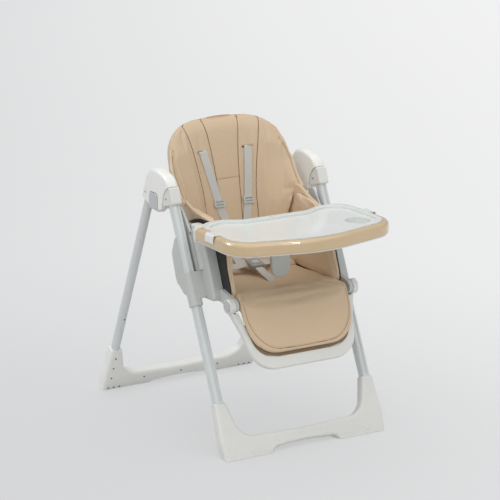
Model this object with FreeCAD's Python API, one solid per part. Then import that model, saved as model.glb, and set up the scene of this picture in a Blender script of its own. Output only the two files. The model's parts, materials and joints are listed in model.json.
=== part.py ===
import FreeCAD, Part
import math
import os

# Folding baby high chair with a bucket seat, leg rest and removable tray.
# Millimetres.  X is across the chair, the sitter faces -Y, Z is up, the floor is Z = 0.
# Everything is drawn about the crossing of the legs and moved by centre_y as it is written out.

os.makedirs("parts", exist_ok=True)

Vec = FreeCAD.Vector

# ---------------------------------------------------------------- driving dimensions
centre_y = 69.55
hub_y = 9.0
hub_height = 694.0
leg_x = 257.0

front_foot_reach = 407.0
rear_foot_reach = 371.0
front_leg_ahead = 93.85
rear_leg_behind = 55.9
front_run = front_foot_reach + hub_y - front_leg_ahead
rear_run = rear_foot_reach - hub_y - rear_leg_behind
front_lean = math.degrees(math.atan2(front_run, hub_height))
rear_lean = math.degrees(math.atan2(rear_run, hub_height))

slide_gap = 0.4
seat_gap = 0.2
bearing_gap = 0.05

# base mouldings
base_half = 276.0
base_flare = 7.0
base_thickness = 35.0
base_socket_top = 168.0
base_socket_half = 18.0
base_bar_top = 52.0
base_arch = 16.0
base_flat_inner = 123.0
base_round = 9.0
base_floor = 1.6
pad_thickness = 4.0
pad_inset = 7.0
screw_hole = 3.7
screw_radius = 3.0
screw_depth = 1.5

# leg tubes
front_tube_x = 26.0
front_tube_y = 32.0
front_tube_round = 8.0
front_tube_wall = 2.2
groove_width = 6.0
groove_depth = 2.2
front_tube_start = 46.0
front_tube_end = math.hypot(front_run, hub_height) + 26.9
rear_tube_radius = 14.0
rear_tube_wall = 2.0
rear_tube_start = 46.0
rear_tube_end = math.hypot(rear_run, hub_height) + 46.5

# hubs
hub_inside = 18.0
hub_outside = 19.0
hub_inner = leg_x - hub_inside
hub_outer = leg_x + hub_outside
hub_round = 0.33 * (hub_inside + hub_outside)
tongue_half = 5.5
tongue_radius = 35.0
tongue_gap = 0.6
pivot_radius = 7.0
cover_clear_radius = 49.4
button_width = 46.0
button_height = 50.0
button_margin = 2.5
button_depth = 6.5
button_travel = 4.0
cover_screw_spot = (hub_y - 73, hub_height + 20)
dome_screw_spot = (hub_y + 53, hub_height + 17)

# seat carriage
slider_wall = 4.0
slider_low = 461.0
slider_high = 563.0
block_low = 483.0
lever_low = slider_low + 79.0
lever_high = slider_low + 151.0
panel_outer = leg_x - 30.0
panel_width = 34.6
panel_inner = panel_outer - panel_width
panel_wall = 4.0
panel_top = 628.0
panel_bottom = 432.0
rail_inner = panel_inner + 10.6
rail_outer = panel_outer - 4.0
rail_top = 640.0
ridge_places = ((-2.0, -3.0, 11.0), (-9.0, -27.0, 16.0))
shell_half = panel_inner - slide_gap
shell_wall = 3.6
wing_thickness = 14.0
wing_lap = 4.0
pan_top = 435.0
seat_top = 457.0

# leg rest, hinged at the seat's front edge
rest_y = -331.0
rest_z = 442.0
rest_nose = 20.0
rest_lean = 28.0
rest_boss = 22.5
rest_button = 17.0
rest_length = 162.0
rest_half = shell_half - 6.0
bar_bottom = 204.0
frame_front = 0.6
frame_depth = 20.0
frame_outer = panel_outer - 5.0
board_thickness = 5.5
rest_pin_radius = 6.0

# backrest
back_y = -27.0
back_z = 455.0
back_lean = 13.4
back_pad = 26.0
back_half = 214.0
back_low_half = shell_half - 19.5
back_length = 472.0
back_step = 206.0
back_corner = 102.0
back_taper = 26.0
hollow_round = 70.0
recline_v = 2.0
recline_n = -14.0
recline_pin_radius = 5.0
shell_depth = 18.0
handle_drop = 55.0
handle_height = 22.0

# tray
tray_top = 666.0
tray_low = 628.0
tray_half = 262.0
rim_width = 17.0
rim_end = -240.0
post_y = -266.0
post_bottom = 486.0
latch_y = -465.0
cup_x = 190.0
cup_y = -392.0
cup_radius = 38.0
insert_floor = 656.5

# webbing
strap_width = 27.0
strap_thickness = 1.8
strap_gap = 0.5
slit_x = 79.0
slit_v = back_length - 109.0
adjuster_v = 204.0
adjuster_x = {"left": -43.0, "right": 59.0}
strap_low = {"left": (-21.0, 122.0), "right": (43.0, 122.0)}
crotch_y = -231.0
crotch_half = 14.0
strap_slope = 15.0
buckle_reach = 116.0
buckle_half = 22.0
buckle_length = 50.0


# ---------------------------------------------------------------- drawing helpers
def rounded_wire(corners, place):
    """Closed wire through (u, v, radius) corners, each corner rounded to its radius."""
    count = len(corners)
    legs = []
    for index in range(count):
        u, v, radius = corners[index]
        before = corners[index - 1]
        after = corners[(index + 1) % count]
        a = (before[0] - u, before[1] - v)
        b = (after[0] - u, after[1] - v)
        la = math.hypot(*a)
        lb = math.hypot(*b)
        a = (a[0] / la, a[1] / la)
        b = (b[0] / lb, b[1] / lb)
        half = 0.5 * math.acos(max(-1.0, min(1.0, a[0] * b[0] + a[1] * b[1])))
        if radius <= 0 or half > math.radians(89.5):
            legs.append(((u, v), None, (u, v)))
            continue
        reach = radius / math.tan(half)
        m = (a[0] + b[0], a[1] + b[1])
        lm = math.hypot(*m)
        dip = radius / math.sin(half) - radius
        start = (u + a[0] * reach, v + a[1] * reach)
        middle = (u + m[0] / lm * dip, v + m[1] / lm * dip)
        end = (u + b[0] * reach, v + b[1] * reach)
        legs.append((start, middle, end))
    edges = []
    for index in range(count):
        start, middle, end = legs[index]
        if middle is not None:
            edges.append(Part.Arc(place(*start), place(*middle), place(*end)).toShape())
        following = legs[(index + 1) % count][0]
        if math.dist(end, following) > 1e-4:
            edges.append(Part.makeLine(place(*end), place(*following)))
    return Part.Wire(edges)


def prism_x(corners, x0, x1):
    """Profile of (y, z, radius) corners, drawn across from x0 to x1."""
    wire = rounded_wire(corners, lambda y, z: Vec(x0, y, z))
    return Part.Face(wire).extrude(Vec(x1 - x0, 0, 0))


def prism_y(corners, y0, y1):
    """Profile of (x, z, radius) corners, drawn from y0 to y1."""
    wire = rounded_wire(corners, lambda x, z: Vec(x, y0, z))
    return Part.Face(wire).extrude(Vec(0, y1 - y0, 0))


def prism_z(corners, z0, z1):
    """Profile of (x, y, radius) corners, drawn from z0 to z1."""
    wire = rounded_wire(corners, lambda x, y: Vec(x, y, z0))
    return Part.Face(wire).extrude(Vec(0, 0, z1 - z0))


def box(x0, x1, y0, y1, z0, z1):
    return Part.makeBox(x1 - x0, y1 - y0, z1 - z0, Vec(x0, y0, z0))


def rod_x(radius, x0, x1, y, z):
    return Part.makeCylinder(radius, x1 - x0, Vec(x0, y, z), Vec(1, 0, 0))


def both_sides(corners):
    """Right-hand corners plus their mirror images, as one closed loop."""
    left = [(-u, v, radius) for u, v, radius in reversed(corners) if abs(u) > 1e-6]
    return corners + left


def mirrored(shape):
    return shape.mirror(Vec(0, 0, 0), Vec(1, 0, 0))


def turned(shape, angle, y, z):
    """Shape turned about the X direction through (y, z)."""
    copy = shape.copy()
    copy.rotate(Vec(0, y, z), Vec(1, 0, 0), angle)
    return copy


def moved(shape, x, y, z):
    copy = shape.copy()
    copy.translate(Vec(x, y, z))
    return copy


def on_front_leg(shape):
    """From leg coordinates (Z along the leg, floor at 0) to the standing front leg."""
    return moved(turned(shape, -front_lean, 0, 0), 0, -front_foot_reach, 0)


def on_rear_leg(shape):
    return moved(turned(shape, rear_lean, 0, 0), 0, rear_foot_reach, 0)


def on_back(shape):
    """From backrest coordinates (-Y out of the cushion, Z up the back) to the chair."""
    return moved(turned(shape, -back_lean, 0, 0), 0, back_y, back_z)


def on_rest(shape):
    """From leg rest coordinates (-Y out of the pad, Z up to the hinge) to the chair."""
    return moved(turned(shape, -rest_lean, 0, 0), 0, rest_y, rest_z)


def bevelled(shape, size, wanted):
    """Cut a narrow flat along the edges that the test picks out."""
    edges = [edge for edge in shape.Edges if wanted(edge)]
    return shape.makeChamfer(size, edges)


def softened(shape, radius, wanted):
    """Round the edges that the test picks out."""
    edges = [edge for edge in shape.Edges if wanted(edge)]
    return shape.makeFillet(radius, edges)


def flat_in(axis, value):
    """Test for edges that lie wholly in one plane."""
    def test(edge):
        low = edge.BoundBox
        ends = {"x": (low.XMin, low.XMax), "y": (low.YMin, low.YMax), "z": (low.ZMin, low.ZMax)}[axis]
        return abs(ends[0] - value) < 1e-3 and abs(ends[1] - value) < 1e-3
    return test


def either(first, second):
    return lambda edge: first(edge) or second(edge)


def write(name, shape):
    shape = moved(shape, 0, centre_y, 0)
    shape.exportStep("parts/" + name + ".step")


def write_pair(name, right):
    write(name + "_right", right)
    write(name + "_left", mirrored(right))


# ---------------------------------------------------------------- base mouldings
def base_outline():
    """U-shaped outline of a base in the plane of its legs."""
    waist = leg_x - base_socket_half
    return both_sides([
        (0, base_arch, 500),
        (base_flat_inner - 16, base_arch - 6, 24),
        (base_flat_inner, -16, 2),
        (base_half, -16, 4),
        (base_half + base_flare, 48, 90),
        (leg_x + base_socket_half + 1, base_socket_top, 3),
        (waist, base_socket_top, 3),
        (waist - 30, base_bar_top + 7, 60),
        (0, base_bar_top, 900),
    ])


def tube_blank(extra, low, high, half_x, half_y, corner):
    """Rounded rectangular bar along Z, grown by extra on every side."""
    hx = half_x + extra
    hy = half_y + extra
    r = corner + extra
    return prism_z([(-hx, -hy, r), (hx, -hy, r), (hx, hy, r), (-hx, hy, r)], low, high)


def front_bar(extra, low, high):
    return tube_blank(extra, low, high, front_tube_x / 2, front_tube_y / 2, front_tube_round)


def rear_bar(extra, low, high):
    return Part.makeCylinder(rear_tube_radius + extra, high - low, Vec(0, 0, low))


def base_screw_spots():
    """Screw places on a base as (x, height up the leg plane)."""
    spots = [(0, 36)]
    for side in (-1, 1):
        spots.append((side * (base_flat_inner + 12), 36))
        for height in (54, 94, 134):
            spots.append((side * leg_x, height))
        for inset in (16, 35, 55):
            spots.append((side * (base_half - inset), 13.5))
    return spots


def base_moulding(bar, stand, inward):
    """Base with sockets; bar draws the tube, stand places it, inward is its inner side."""
    half = base_thickness / 2
    solid = prism_y(base_outline(), -half, half)
    solid = softened(solid, base_round, either(flat_in("y", -half), flat_in("y", half)))
    for side in (-1, 1):
        solid = solid.cut(moved(bar(seat_gap, 46.0, base_socket_top + 20), side * leg_x, 0, 0))
    for x, height in base_screw_spots():
        hole = Part.makeCylinder(screw_hole, screw_depth, Vec(x, inward * half, height), Vec(0, -inward, 0))
        solid = solid.cut(hole)
    solid = stand(solid)
    wide = 2 * base_half
    solid = solid.cut(box(-wide, wide, -wide, wide, -60, base_floor))
    return solid


def base_screws(stand, inward):
    low = base_thickness / 2 - screw_depth
    heads = []
    for x, height in base_screw_spots():
        head = Part.makeCylinder(screw_radius, 1.2, Vec(x, inward * low, height), Vec(0, inward, 0))
        slot = box(x - 2.2, x + 2.2, -0.5, 0.5, height - 0.5, height + 0.5)
        heads.append(head.cut(moved(slot, 0, inward * (low + 1.2), 0)))
    return stand(Part.makeCompound(heads))


def foot_pad(reach):
    """Rubber pad let into the foot at distance reach from the hub axis."""
    depth = base_thickness / 2 - 6
    pad = prism_z([
        (base_flat_inner + 6, reach - depth, 5),
        (base_half - pad_inset, reach - depth, 9),
        (base_half - pad_inset, reach + depth, 9),
        (base_flat_inner + 6, reach + depth, 5),
    ], 0, pad_thickness)
    return pad


front_pad = foot_pad(-front_foot_reach)
rear_pad = foot_pad(rear_foot_reach)
front_base = base_moulding(front_bar, on_front_leg, 1)
rear_base = base_moulding(rear_bar, on_rear_leg, -1)
for pad in (front_pad, mirrored(front_pad)):
    front_base = front_base.cut(pad)
for pad in (rear_pad, mirrored(rear_pad)):
    rear_base = rear_base.cut(pad)
write("front_base", front_base)
write("rear_base", rear_base)
write_pair("front_pad", front_pad)
write_pair("rear_pad", rear_pad)
write("front_base_screws", base_screws(on_front_leg, 1))
write("rear_base_screws", base_screws(on_rear_leg, -1))


# ---------------------------------------------------------------- leg tubes
def front_tube():
    tube = front_bar(0, front_tube_start, front_tube_end)
    core = front_bar(-front_tube_wall, front_tube_start - 1, front_tube_end + 1)
    front = -front_tube_y / 2
    backing = groove_depth + front_tube_wall
    side = groove_width / 2 + front_tube_wall
    core = core.cut(box(-side, side, front - 1, front + backing, 0, front_tube_end + 2))
    tube = tube.cut(core)
    half = groove_width / 2
    groove = box(-half, half, front - 1, front + groove_depth, base_socket_top + 4, front_tube_end + 2)
    return tube.cut(groove)


def rear_tube():
    tube = rear_bar(0, rear_tube_start, rear_tube_end)
    return tube.cut(rear_bar(-rear_tube_wall, rear_tube_start - 1, rear_tube_end + 1))


front_leg = on_front_leg(moved(front_tube(), leg_x, 0, 0))
rear_leg = on_rear_leg(moved(rear_tube(), leg_x, 0, 0))
write_pair("front_leg", front_leg)
write_pair("rear_leg", rear_leg)


# ---------------------------------------------------------------- hubs
def at_hub(corners):
    """Profile corners measured from the pivot, as chair corners."""
    return [(hub_y + y, hub_height + z, radius) for y, z, radius in corners]


def cover_profile(extra):
    """Front leg socket, seen from the side, grown by extra."""
    return at_hub([
        (-50 + extra, -7 - 3 * extra, 6),
        (-115 - 4 * extra, 10 - 3 * extra, 7),
        (-94 - extra, 62 + 2 * extra, 7),
        (-61 + extra, 42 + extra, 60),
    ])


def hub_socket():
    """Socket on the front leg with a tongue that reaches the hub axis."""
    low = hub_inner + 1.5
    high = hub_outer - 1.5
    cover = prism_x(cover_profile(0), low, high)
    cover = softened(cover, 4.5, either(flat_in("x", low), flat_in("x", high)))
    tongue = prism_x(at_hub([
        (-79, 34, 0),
        (-24, 34, 0),
        (-24, -30, 0),
        (-59, -4, 0),
    ]), leg_x - tongue_half, leg_x + tongue_half)
    disc = rod_x(tongue_radius, leg_x - tongue_half, leg_x + tongue_half, hub_y, hub_height)
    solid = cover.fuse([tongue, disc]).removeSplitter()
    solid = solid.cut(on_front_leg(moved(front_bar(seat_gap, 600, front_tube_end), leg_x, 0, 0)))
    solid = solid.cut(rod_x(pivot_radius + bearing_gap, leg_x - 20, leg_x + 20, hub_y, hub_height))
    for x, way in ((high, -1), (low, 1)):
        solid = solid.cut(Part.makeCylinder(screw_hole, 3, Vec(x, *cover_screw_spot), Vec(way, 0, 0)))
    return solid


def hub_dome():
    """Domed housing on the rear leg, slotted for the tongue."""
    dome = prism_x(at_hub([
        (-137, -60, 0),
        (-80, 86, 50),
        (-1, 103, 90),
        (44, 86, 50),
        (108, -60, 0),
    ]), hub_inner, hub_outer)
    dome = softened(dome, hub_round, either(flat_in("x", hub_inner), flat_in("x", hub_outer)))
    below = prism_x(at_hub([
        (-169, -94, 0),
        (-169, -4, 0),
        (-33, -18, 0),
        (0, -30, 50),
        (39, -10, 30),
        (63, -2, 0),
        (151, 32, 0),
        (151, -94, 0),
    ]), hub_inner - 5, hub_outer + 5)
    dome = dome.cut(below)
    room = prism_x(cover_profile(tongue_gap), hub_inner - 5, hub_outer + 5)
    ahead = prism_x(at_hub([
        (-55, -54, 0), (-169, -54, 0), (-169, 58, 0), (-95, 58, 0), (-73, 20, 0),
    ]), hub_inner - 5, hub_outer + 5)
    swept = prism_x(at_hub([
        (-20, -94, 0), (-169, -94, 0), (-169, 4, 0), (-20, 4, 0),
    ]), hub_inner - 5, hub_outer + 5)
    swept = swept.cut(rod_x(cover_clear_radius, hub_inner - 6, hub_outer + 6, hub_y, hub_height))
    dome = dome.cut(room).cut(ahead).cut(swept)
    low = leg_x - tongue_half - tongue_gap
    high = leg_x + tongue_half + tongue_gap
    slot = prism_x(at_hub([
        (-16, 36, 0),
        (-79, 40, 0),
        (-149, 60, 0),
        (-149, -90, 0),
        (34, -90, 0),
        (34, -10, 0),
    ]), low, high)
    slot = slot.fuse(rod_x(tongue_radius + tongue_gap, low, high, hub_y, hub_height))
    dome = dome.cut(slot)
    dome = dome.cut(on_rear_leg(moved(rear_bar(seat_gap, 600, rear_tube_end), leg_x, 0, 0)))
    dome = dome.cut(rod_x(pivot_radius, hub_inner + 3, hub_outer - 7, hub_y, hub_height))
    dome = dome.cut(button_blank(button_margin, hub_outer - button_depth, hub_outer + 4))
    for z in button_pegs():
        dome = dome.cut(rod_x(3 + bearing_gap, high - 1, hub_outer, hub_y, z))
    return dome.cut(rod_x(screw_hole, hub_outer - 3, hub_outer + 5, *dome_screw_spot))


def button_pegs():
    return (hub_height - 16, hub_height + 16)


def button_blank(extra, x0, x1):
    half_y = button_width / 2 + extra
    half_z = button_height / 2 + extra
    r = 12 + extra
    return prism_x([
        (hub_y - half_y, hub_height - half_z, r),
        (hub_y + half_y, hub_height - half_z, r),
        (hub_y + half_y, hub_height + half_z, r),
        (hub_y - half_y, hub_height + half_z, r),
    ], x0, x1)


def fold_button():
    """Push button on the hub's outer face, guided by two pegs."""
    floor = hub_outer - button_depth
    button = button_blank(0, floor + button_travel + 0.4, hub_outer + 3.5)
    button = bevelled(button, 1.6, flat_in("x", hub_outer + 3.5))
    for z in button_pegs():
        button = button.fuse(rod_x(3, floor - 0.5, floor + button_travel + 1, hub_y, z))
    return button.removeSplitter()


def hub_screws(spots):
    """Cross-head screws let in from the side: spots of (x, way, y, z)."""
    heads = []
    for x, way, y, z in spots:
        head = Part.makeCylinder(screw_radius, 2, Vec(x + way, y, z), Vec(way, 0, 0))
        slot = box(x + way - 0.6, x + way + 0.6, y - 2.4, y + 2.4, z - 0.5, z + 0.5)
        heads.append(head.cut(slot))
    return heads


write_pair("hub_socket", hub_socket())
write_pair("hub_dome", hub_dome())
write_pair("fold_button", fold_button())
cover_heads = hub_screws([(hub_outer - 1.5, -1, *cover_screw_spot), (hub_inner + 1.5, 1, *cover_screw_spot)])
write("hub_socket_screws", Part.makeCompound(cover_heads + [mirrored(head) for head in cover_heads]))
dome_heads = hub_screws([(hub_outer, -1, *dome_screw_spot)])
write("hub_dome_screws", Part.makeCompound(dome_heads + [mirrored(head) for head in dome_heads]))
hub_pin = rod_x(pivot_radius, hub_inner + 3, hub_outer - 7, hub_y, hub_height)
write("hub_pins", Part.makeCompound([hub_pin, mirrored(hub_pin)]))


# ---------------------------------------------------------------- sliders on the front legs
def lobe():
    """D-shaped grip behind the leg, drawn in the leg's own plane."""
    profile = [(0, 39, 0), (34, 39, 22), (68, 95, 40), (58, 179, 40), (22, 215, 12), (0, 215, 0)]
    return prism_x([(y, slider_low + z, radius) for y, z, radius in profile], leg_x - 14, leg_x + 14)


def slider():
    """Sleeve, grip and mounting flange of the height slider."""
    sleeve = front_bar(slide_gap + slider_wall, slider_low, slider_high)
    sleeve = moved(sleeve, leg_x, 0, 0)
    sleeve = bevelled(sleeve, 1.5, either(flat_in("z", slider_low), flat_in("z", slider_high)))
    grip = lobe()
    grip = softened(grip, 8, either(flat_in("x", leg_x - 14), flat_in("x", leg_x + 14)))
    half = front_tube_y / 2 + slide_gap + slider_wall
    block = prism_z([
        (panel_outer, -half, 0),
        (leg_x, -half, 0),
        (leg_x, half, 0),
        (panel_outer, half, 0),
    ], block_low, slider_high)
    block = bevelled(block, 1.5, either(flat_in("z", block_low), flat_in("z", slider_high)))
    body = sleeve.fuse([grip, block]).removeSplitter()
    body = body.cut(moved(front_bar(slide_gap, slider_low - 5, 700), leg_x, 0, 0))
    room = box(leg_x - 7, leg_x + 7, 40, 80, lever_low - 0.5, lever_high + 0.5)
    body = body.cut(room)
    return on_front_leg(body)


def height_lever():
    """Squeeze lever in the back of the grip."""
    blade = prism_x([
        (46, lever_low, 2),
        (74, lever_low, 8),
        (69, lever_high, 8),
        (46, lever_high, 2),
    ], leg_x - 6.5, leg_x + 6.5)
    blade = bevelled(blade, 1.5, either(flat_in("x", leg_x - 6.5), flat_in("x", leg_x + 6.5)))
    return on_front_leg(blade)


write_pair("slider", slider())
write_pair("height_lever", height_lever())


# ---------------------------------------------------------------- seat shell and side panels
def panel_outline(inset):
    return [
        (-272 + 1.5 * inset, panel_bottom + 8 + inset, 14),
        (-194 + 0.7 * inset, panel_top - inset, 12),
        (-62 - inset, panel_top - inset, 22),
        (-76 - inset, panel_bottom + inset, 24),
    ]


def beside_leg(corners):
    """Corners given as (distance behind the front leg's axis, height, radius)."""
    slope = math.tan(math.radians(front_lean))
    return [(-front_foot_reach + slope * z + y, z, radius) for y, z, radius in corners]


def side_panel():
    """Hollow arm panel with a tray rail on top, a lug for the leg rest and inner ribs."""
    panel = prism_x(panel_outline(0), panel_inner, panel_outer)
    panel = softened(panel, 7, flat_in("x", panel_outer))
    room = prism_x(panel_outline(0), panel_outer - 12, panel_outer + 14)
    ridges = []
    for x, y, radius in ridge_places:
        ridge = Part.makeCylinder(radius, 160, Vec(panel_outer + x, y, slider_high))
        ridges.append(on_front_leg(ridge).common(room))
    hollow = prism_x(panel_outline(panel_wall + 3), panel_inner - 1, panel_outer - panel_wall - 3)
    for z in (panel_bottom + 53, panel_bottom + 113):
        hollow = hollow.cut(box(panel_inner - 5, panel_outer, -400, 0, z, z + 3))
    hollow = hollow.cut(box(panel_inner - 5, panel_outer, -163, -160, panel_bottom, panel_top))
    panel = panel.cut(hollow)
    rail = prism_y([
        (rail_inner, panel_top - 4, 0),
        (rail_outer, panel_top - 4, 0),
        (rail_outer, rail_top, 3),
        (rail_inner, rail_top, 3),
    ], -198, -72)
    ear = prism_x(beside_leg([
        (10.2, panel_top - 36, 0),
        (-22.5, panel_top, 6),
        (3.6, panel_top + 60, 14),
        (37.6, panel_top + 60, 14),
        (43.9, panel_top + 12, 20),
        (24.2, panel_top - 36, 0),
    ]), rail_outer + 6.4, hub_inner - 3)
    ear = softened(ear, 2.5, flat_in("x", hub_inner - 3))
    lug_top = rest_z + rest_nose
    lug = prism_x([
        (rest_y, rest_z - rest_nose, 0),
        (rest_y, lug_top, 0),
        (-262, lug_top + 14, 6),
        (-240, panel_bottom + 12, 0),
    ], panel_inner, panel_inner + 12.2)
    knuckle = rod_x(rest_nose, panel_inner, panel_inner + 12.2, rest_y, rest_z)
    panel = panel.fuse([rail, ear, lug, knuckle] + ridges).removeSplitter()
    return panel.cut(rod_x(rest_pin_radius, panel_inner + 3, panel_inner + 20, rest_y, rest_z))


def wing_outline(inset):
    """Side wall of the seat bucket seen from the side."""
    return [
        (-300 + 1.2 * inset, panel_bottom + inset, 8),
        (-305 + 1.2 * inset, 476, 30),
        (-280 + 1.2 * inset, 540, 90),
        (-268 + 1.2 * inset, 618 - inset, 22),
        (-188 + inset, 622 - inset, 4),
        (-188 + inset, 668 - inset, 18),
        (-70 - inset, 680 - inset, 10),
        (-52 - inset, 640, 20),
        (-38 - inset, 520, 30),
        (-38 - inset, panel_bottom + inset, 8),
    ]


def seat_shell():
    """Black bucket: pan, two side walls and a low rear wall."""
    wall = prism_x(wing_outline(wing_lap), shell_half - shell_wall, shell_half)
    pan = prism_x([
        (-300, panel_bottom - 1, 2),
        (-296, pan_top, 2),
        (20, pan_top, 2),
        (20, panel_bottom - 1, 2),
    ], -shell_half, shell_half)
    recline = recline_point()
    strut = prism_x([
        (-60, panel_bottom, 4),
        (recline[0] - 22, recline[1] + 22, 18),
        (recline[0] + 22, recline[1] + 22, 18),
        (20, panel_bottom, 4),
    ], shell_half - shell_wall, shell_half)
    low = panel_bottom - 10
    side = shell_half - 10
    ribs = [box(-side, side, y, y + 3, low, panel_bottom) for y in (-250, -170, -90, -10)]
    ribs += [box(x - 1.5, x + 1.5, -290, 15, low, panel_bottom) for x in (-120, 0, 120)]
    shell = pan.fuse([wall, mirrored(wall), strut, mirrored(strut)] + ribs).removeSplitter()
    for side in (-1, 1):
        bore = rod_x(recline_pin_radius + bearing_gap, shell_half - 6, shell_half + 1, *recline)
        shell = shell.cut(bore if side > 0 else mirrored(bore))
    half = crotch_half + 2
    return shell.cut(box(-half, half, crotch_y - 2, crotch_y + 2, panel_bottom - 20, pan_top + 1))


def recline_point():
    """Recline hinge in chair coordinates."""
    angle = math.radians(back_lean)
    y = back_y - recline_n * math.cos(angle) + recline_v * math.sin(angle)
    z = back_z + recline_n * math.sin(angle) + recline_v * math.cos(angle)
    return (y, z)


def seat_cushion():
    """Seat pad with a rolled front edge round the leg rest hinge."""
    half = shell_half - shell_wall - slide_gap
    pad = prism_x([
        (rest_y, pan_top + 0.1, 0),
        (rest_y, rest_z + rest_nose, 0),
        (-250, seat_top + 2, 200),
        (-44, seat_top - 6, 8),
        (-40, pan_top + 0.1, 3),
    ], -half, half)
    nose = rod_x(rest_nose, -half, half, rest_y, rest_z)
    pad = pad.fuse(nose).removeSplitter()
    pad = pad.cut(box(-half - 1, half + 1, -301, 40, pan_top - 60, pan_top + 0.05))
    half = crotch_half + 1.5
    return pad.cut(box(-half, half, crotch_y - 3, crotch_y + 3, pan_top - 1, seat_top + 9))


def wing_cushion():
    """Leatherette side wing that lines one wall of the bucket."""
    outer = shell_half - shell_wall - slide_gap
    inner = outer - wing_thickness
    wing = prism_x(wing_outline(0), inner, outer)
    wing = bevelled(wing, 2.5, either(flat_in("x", inner), flat_in("x", outer)))
    below = box(0, 300, -400, 100, panel_bottom - 20, rest_z + rest_nose + 0.4)
    return wing.cut(below)


write_pair("side_panel", side_panel())
write("seat_shell", seat_shell())
write("seat_cushion", seat_cushion())
write_pair("wing_cushion", wing_cushion())


# ---------------------------------------------------------------- leg rest
def rest_outline(inset, top):
    """Outline of the calf pad, narrowing downwards to a broad round."""
    half = rest_half - inset
    return both_sides([
        (half, top, 8),
        (half, -50, 60),
        (half - 18, -rest_length + inset, 92 - inset),
    ])


def leg_frame():
    """U-shaped frame with hinge bosses, drawn hanging from the hinge."""
    back = frame_front + frame_depth
    frame = prism_y(both_sides([
        (frame_outer - 0.5, 2, 6),
        (frame_outer - 32, -95, 80),
        (frame_outer - 52, -bar_bottom, 80),
    ]), frame_front, back)
    inner = prism_y(both_sides([
        (frame_outer - 18, 30, 0),
        (frame_outer - 51, -90, 80),
        (frame_outer - 66, -rest_length - 6, 68),
    ]), frame_front - 1, back + 1)
    frame = frame.cut(inner)
    frame = softened(frame, 5, either(flat_in("y", frame_front), flat_in("y", back)))
    low = panel_inner + 12.6
    for flip in (False, True):
        boss = rod_x(rest_boss, low, frame_outer, 0, 0)
        boss = bevelled(boss, 1.6, flat_in("x", frame_outer))
        frame = frame.fuse(mirrored(boss) if flip else boss)
    frame = frame.cut(rod_x(rest_nose + 5, -low, low, 0, 0))
    pocket = rod_x(rest_button + 0.4, frame_outer - 7, frame_outer + 3, 0, 0)
    bore = rod_x(rest_pin_radius + bearing_gap, low - 1, frame_outer - 10, 0, 0)
    for cutter in (pocket, bore):
        frame = frame.cut(cutter).cut(mirrored(cutter))
    return frame


def calf_board():
    """Board behind the calf pad, with lugs that reach the frame's bar."""
    board = prism_y(rest_outline(20, -rest_nose - 4), 0.2, board_thickness)
    for x in (-60, 0, 60):
        lug = box(x - 9, x + 9, 0.2, board_thickness + 6, -rest_length - 5.8, -rest_length + 30)
        rear = board_thickness + 6
        rib = box(x - 1.5, x + 1.5, board_thickness - 0.5, rear, -rest_length + 29, -rest_nose - 12)
        board = board.fuse([lug, rib])
    return board.removeSplitter()


def calf_cushion():
    pad = prism_y(rest_outline(0, 0), -rest_nose, 0)
    pad = bevelled(pad, 5, flat_in("y", -rest_nose))
    return pad.cut(rod_x(rest_nose + 0.5, -shell_half, shell_half, 0, 0))


def rest_button_blank():
    button = rod_x(rest_button, frame_outer - 3.4, frame_outer + 3, 0, 0)
    return bevelled(button, 1.2, flat_in("x", frame_outer + 3))


write("leg_rest_frame", on_rest(leg_frame()))
write("calf_board", on_rest(calf_board()))
write("calf_cushion", on_rest(calf_cushion()))
write_pair("leg_rest_button", on_rest(rest_button_blank()))
rest_pin = rod_x(rest_pin_radius, panel_inner + 3, frame_outer - 10, rest_y, rest_z)
write("leg_rest_pins", Part.makeCompound([rest_pin, mirrored(rest_pin)]))


# ---------------------------------------------------------------- backrest
def back_outline(inset, taper=0.0):
    """Backrest outline; taper draws the upper part in further than the hips."""
    low = back_low_half - inset
    high = back_half - inset - taper
    top = back_length - inset
    return both_sides([
        (low, 16 + inset, 12),
        (low, back_step, 12),
        (high - 2, back_step + 20, 12),
        (high + 1, top - 152 + inset, 200),
        (high + 1, top - 16, back_corner - inset),
        (0, top, 330),
    ])


def back_side_outline():
    """Backrest pad seen from the side as (-out, up)."""
    return [
        (back_pad, 16, 3),
        (-2, 16, 4),
        (-38, 110, 60),
        (-78, back_step - 2, 12),
        (-110, back_step + 7, 12),
        (-66, back_length - 154, 120),
        (-10, back_length - 64, 60),
        (1, back_length - 4, 16),
        (back_pad, back_length + 3, 10),
    ]


def back_cushion():
    """Bucket-shaped back pad: a flat back between two forward wings."""
    front = rounded_wire(back_outline(0), lambda x, z: Vec(x, -130, z))
    rear = rounded_wire(back_outline(0, back_taper), lambda x, z: Vec(x, back_pad, z))
    blank = Part.makeLoft([front, rear], True, True)
    side = prism_x(back_side_outline(), -240, 240)
    pad = blank.common(side)
    sections = []
    for height, half in ((-10, 150), (back_length + 28, 186)):
        sections.append(rounded_wire([
            (-half, 0, hollow_round), (half, 0, hollow_round), (half + 14, -170, 0), (-half - 14, -170, 0),
        ], lambda x, y, z=height: Vec(x, y, z)))
    hollow = Part.makeLoft(sections, True, True)
    return pad.cut(hollow)


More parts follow.
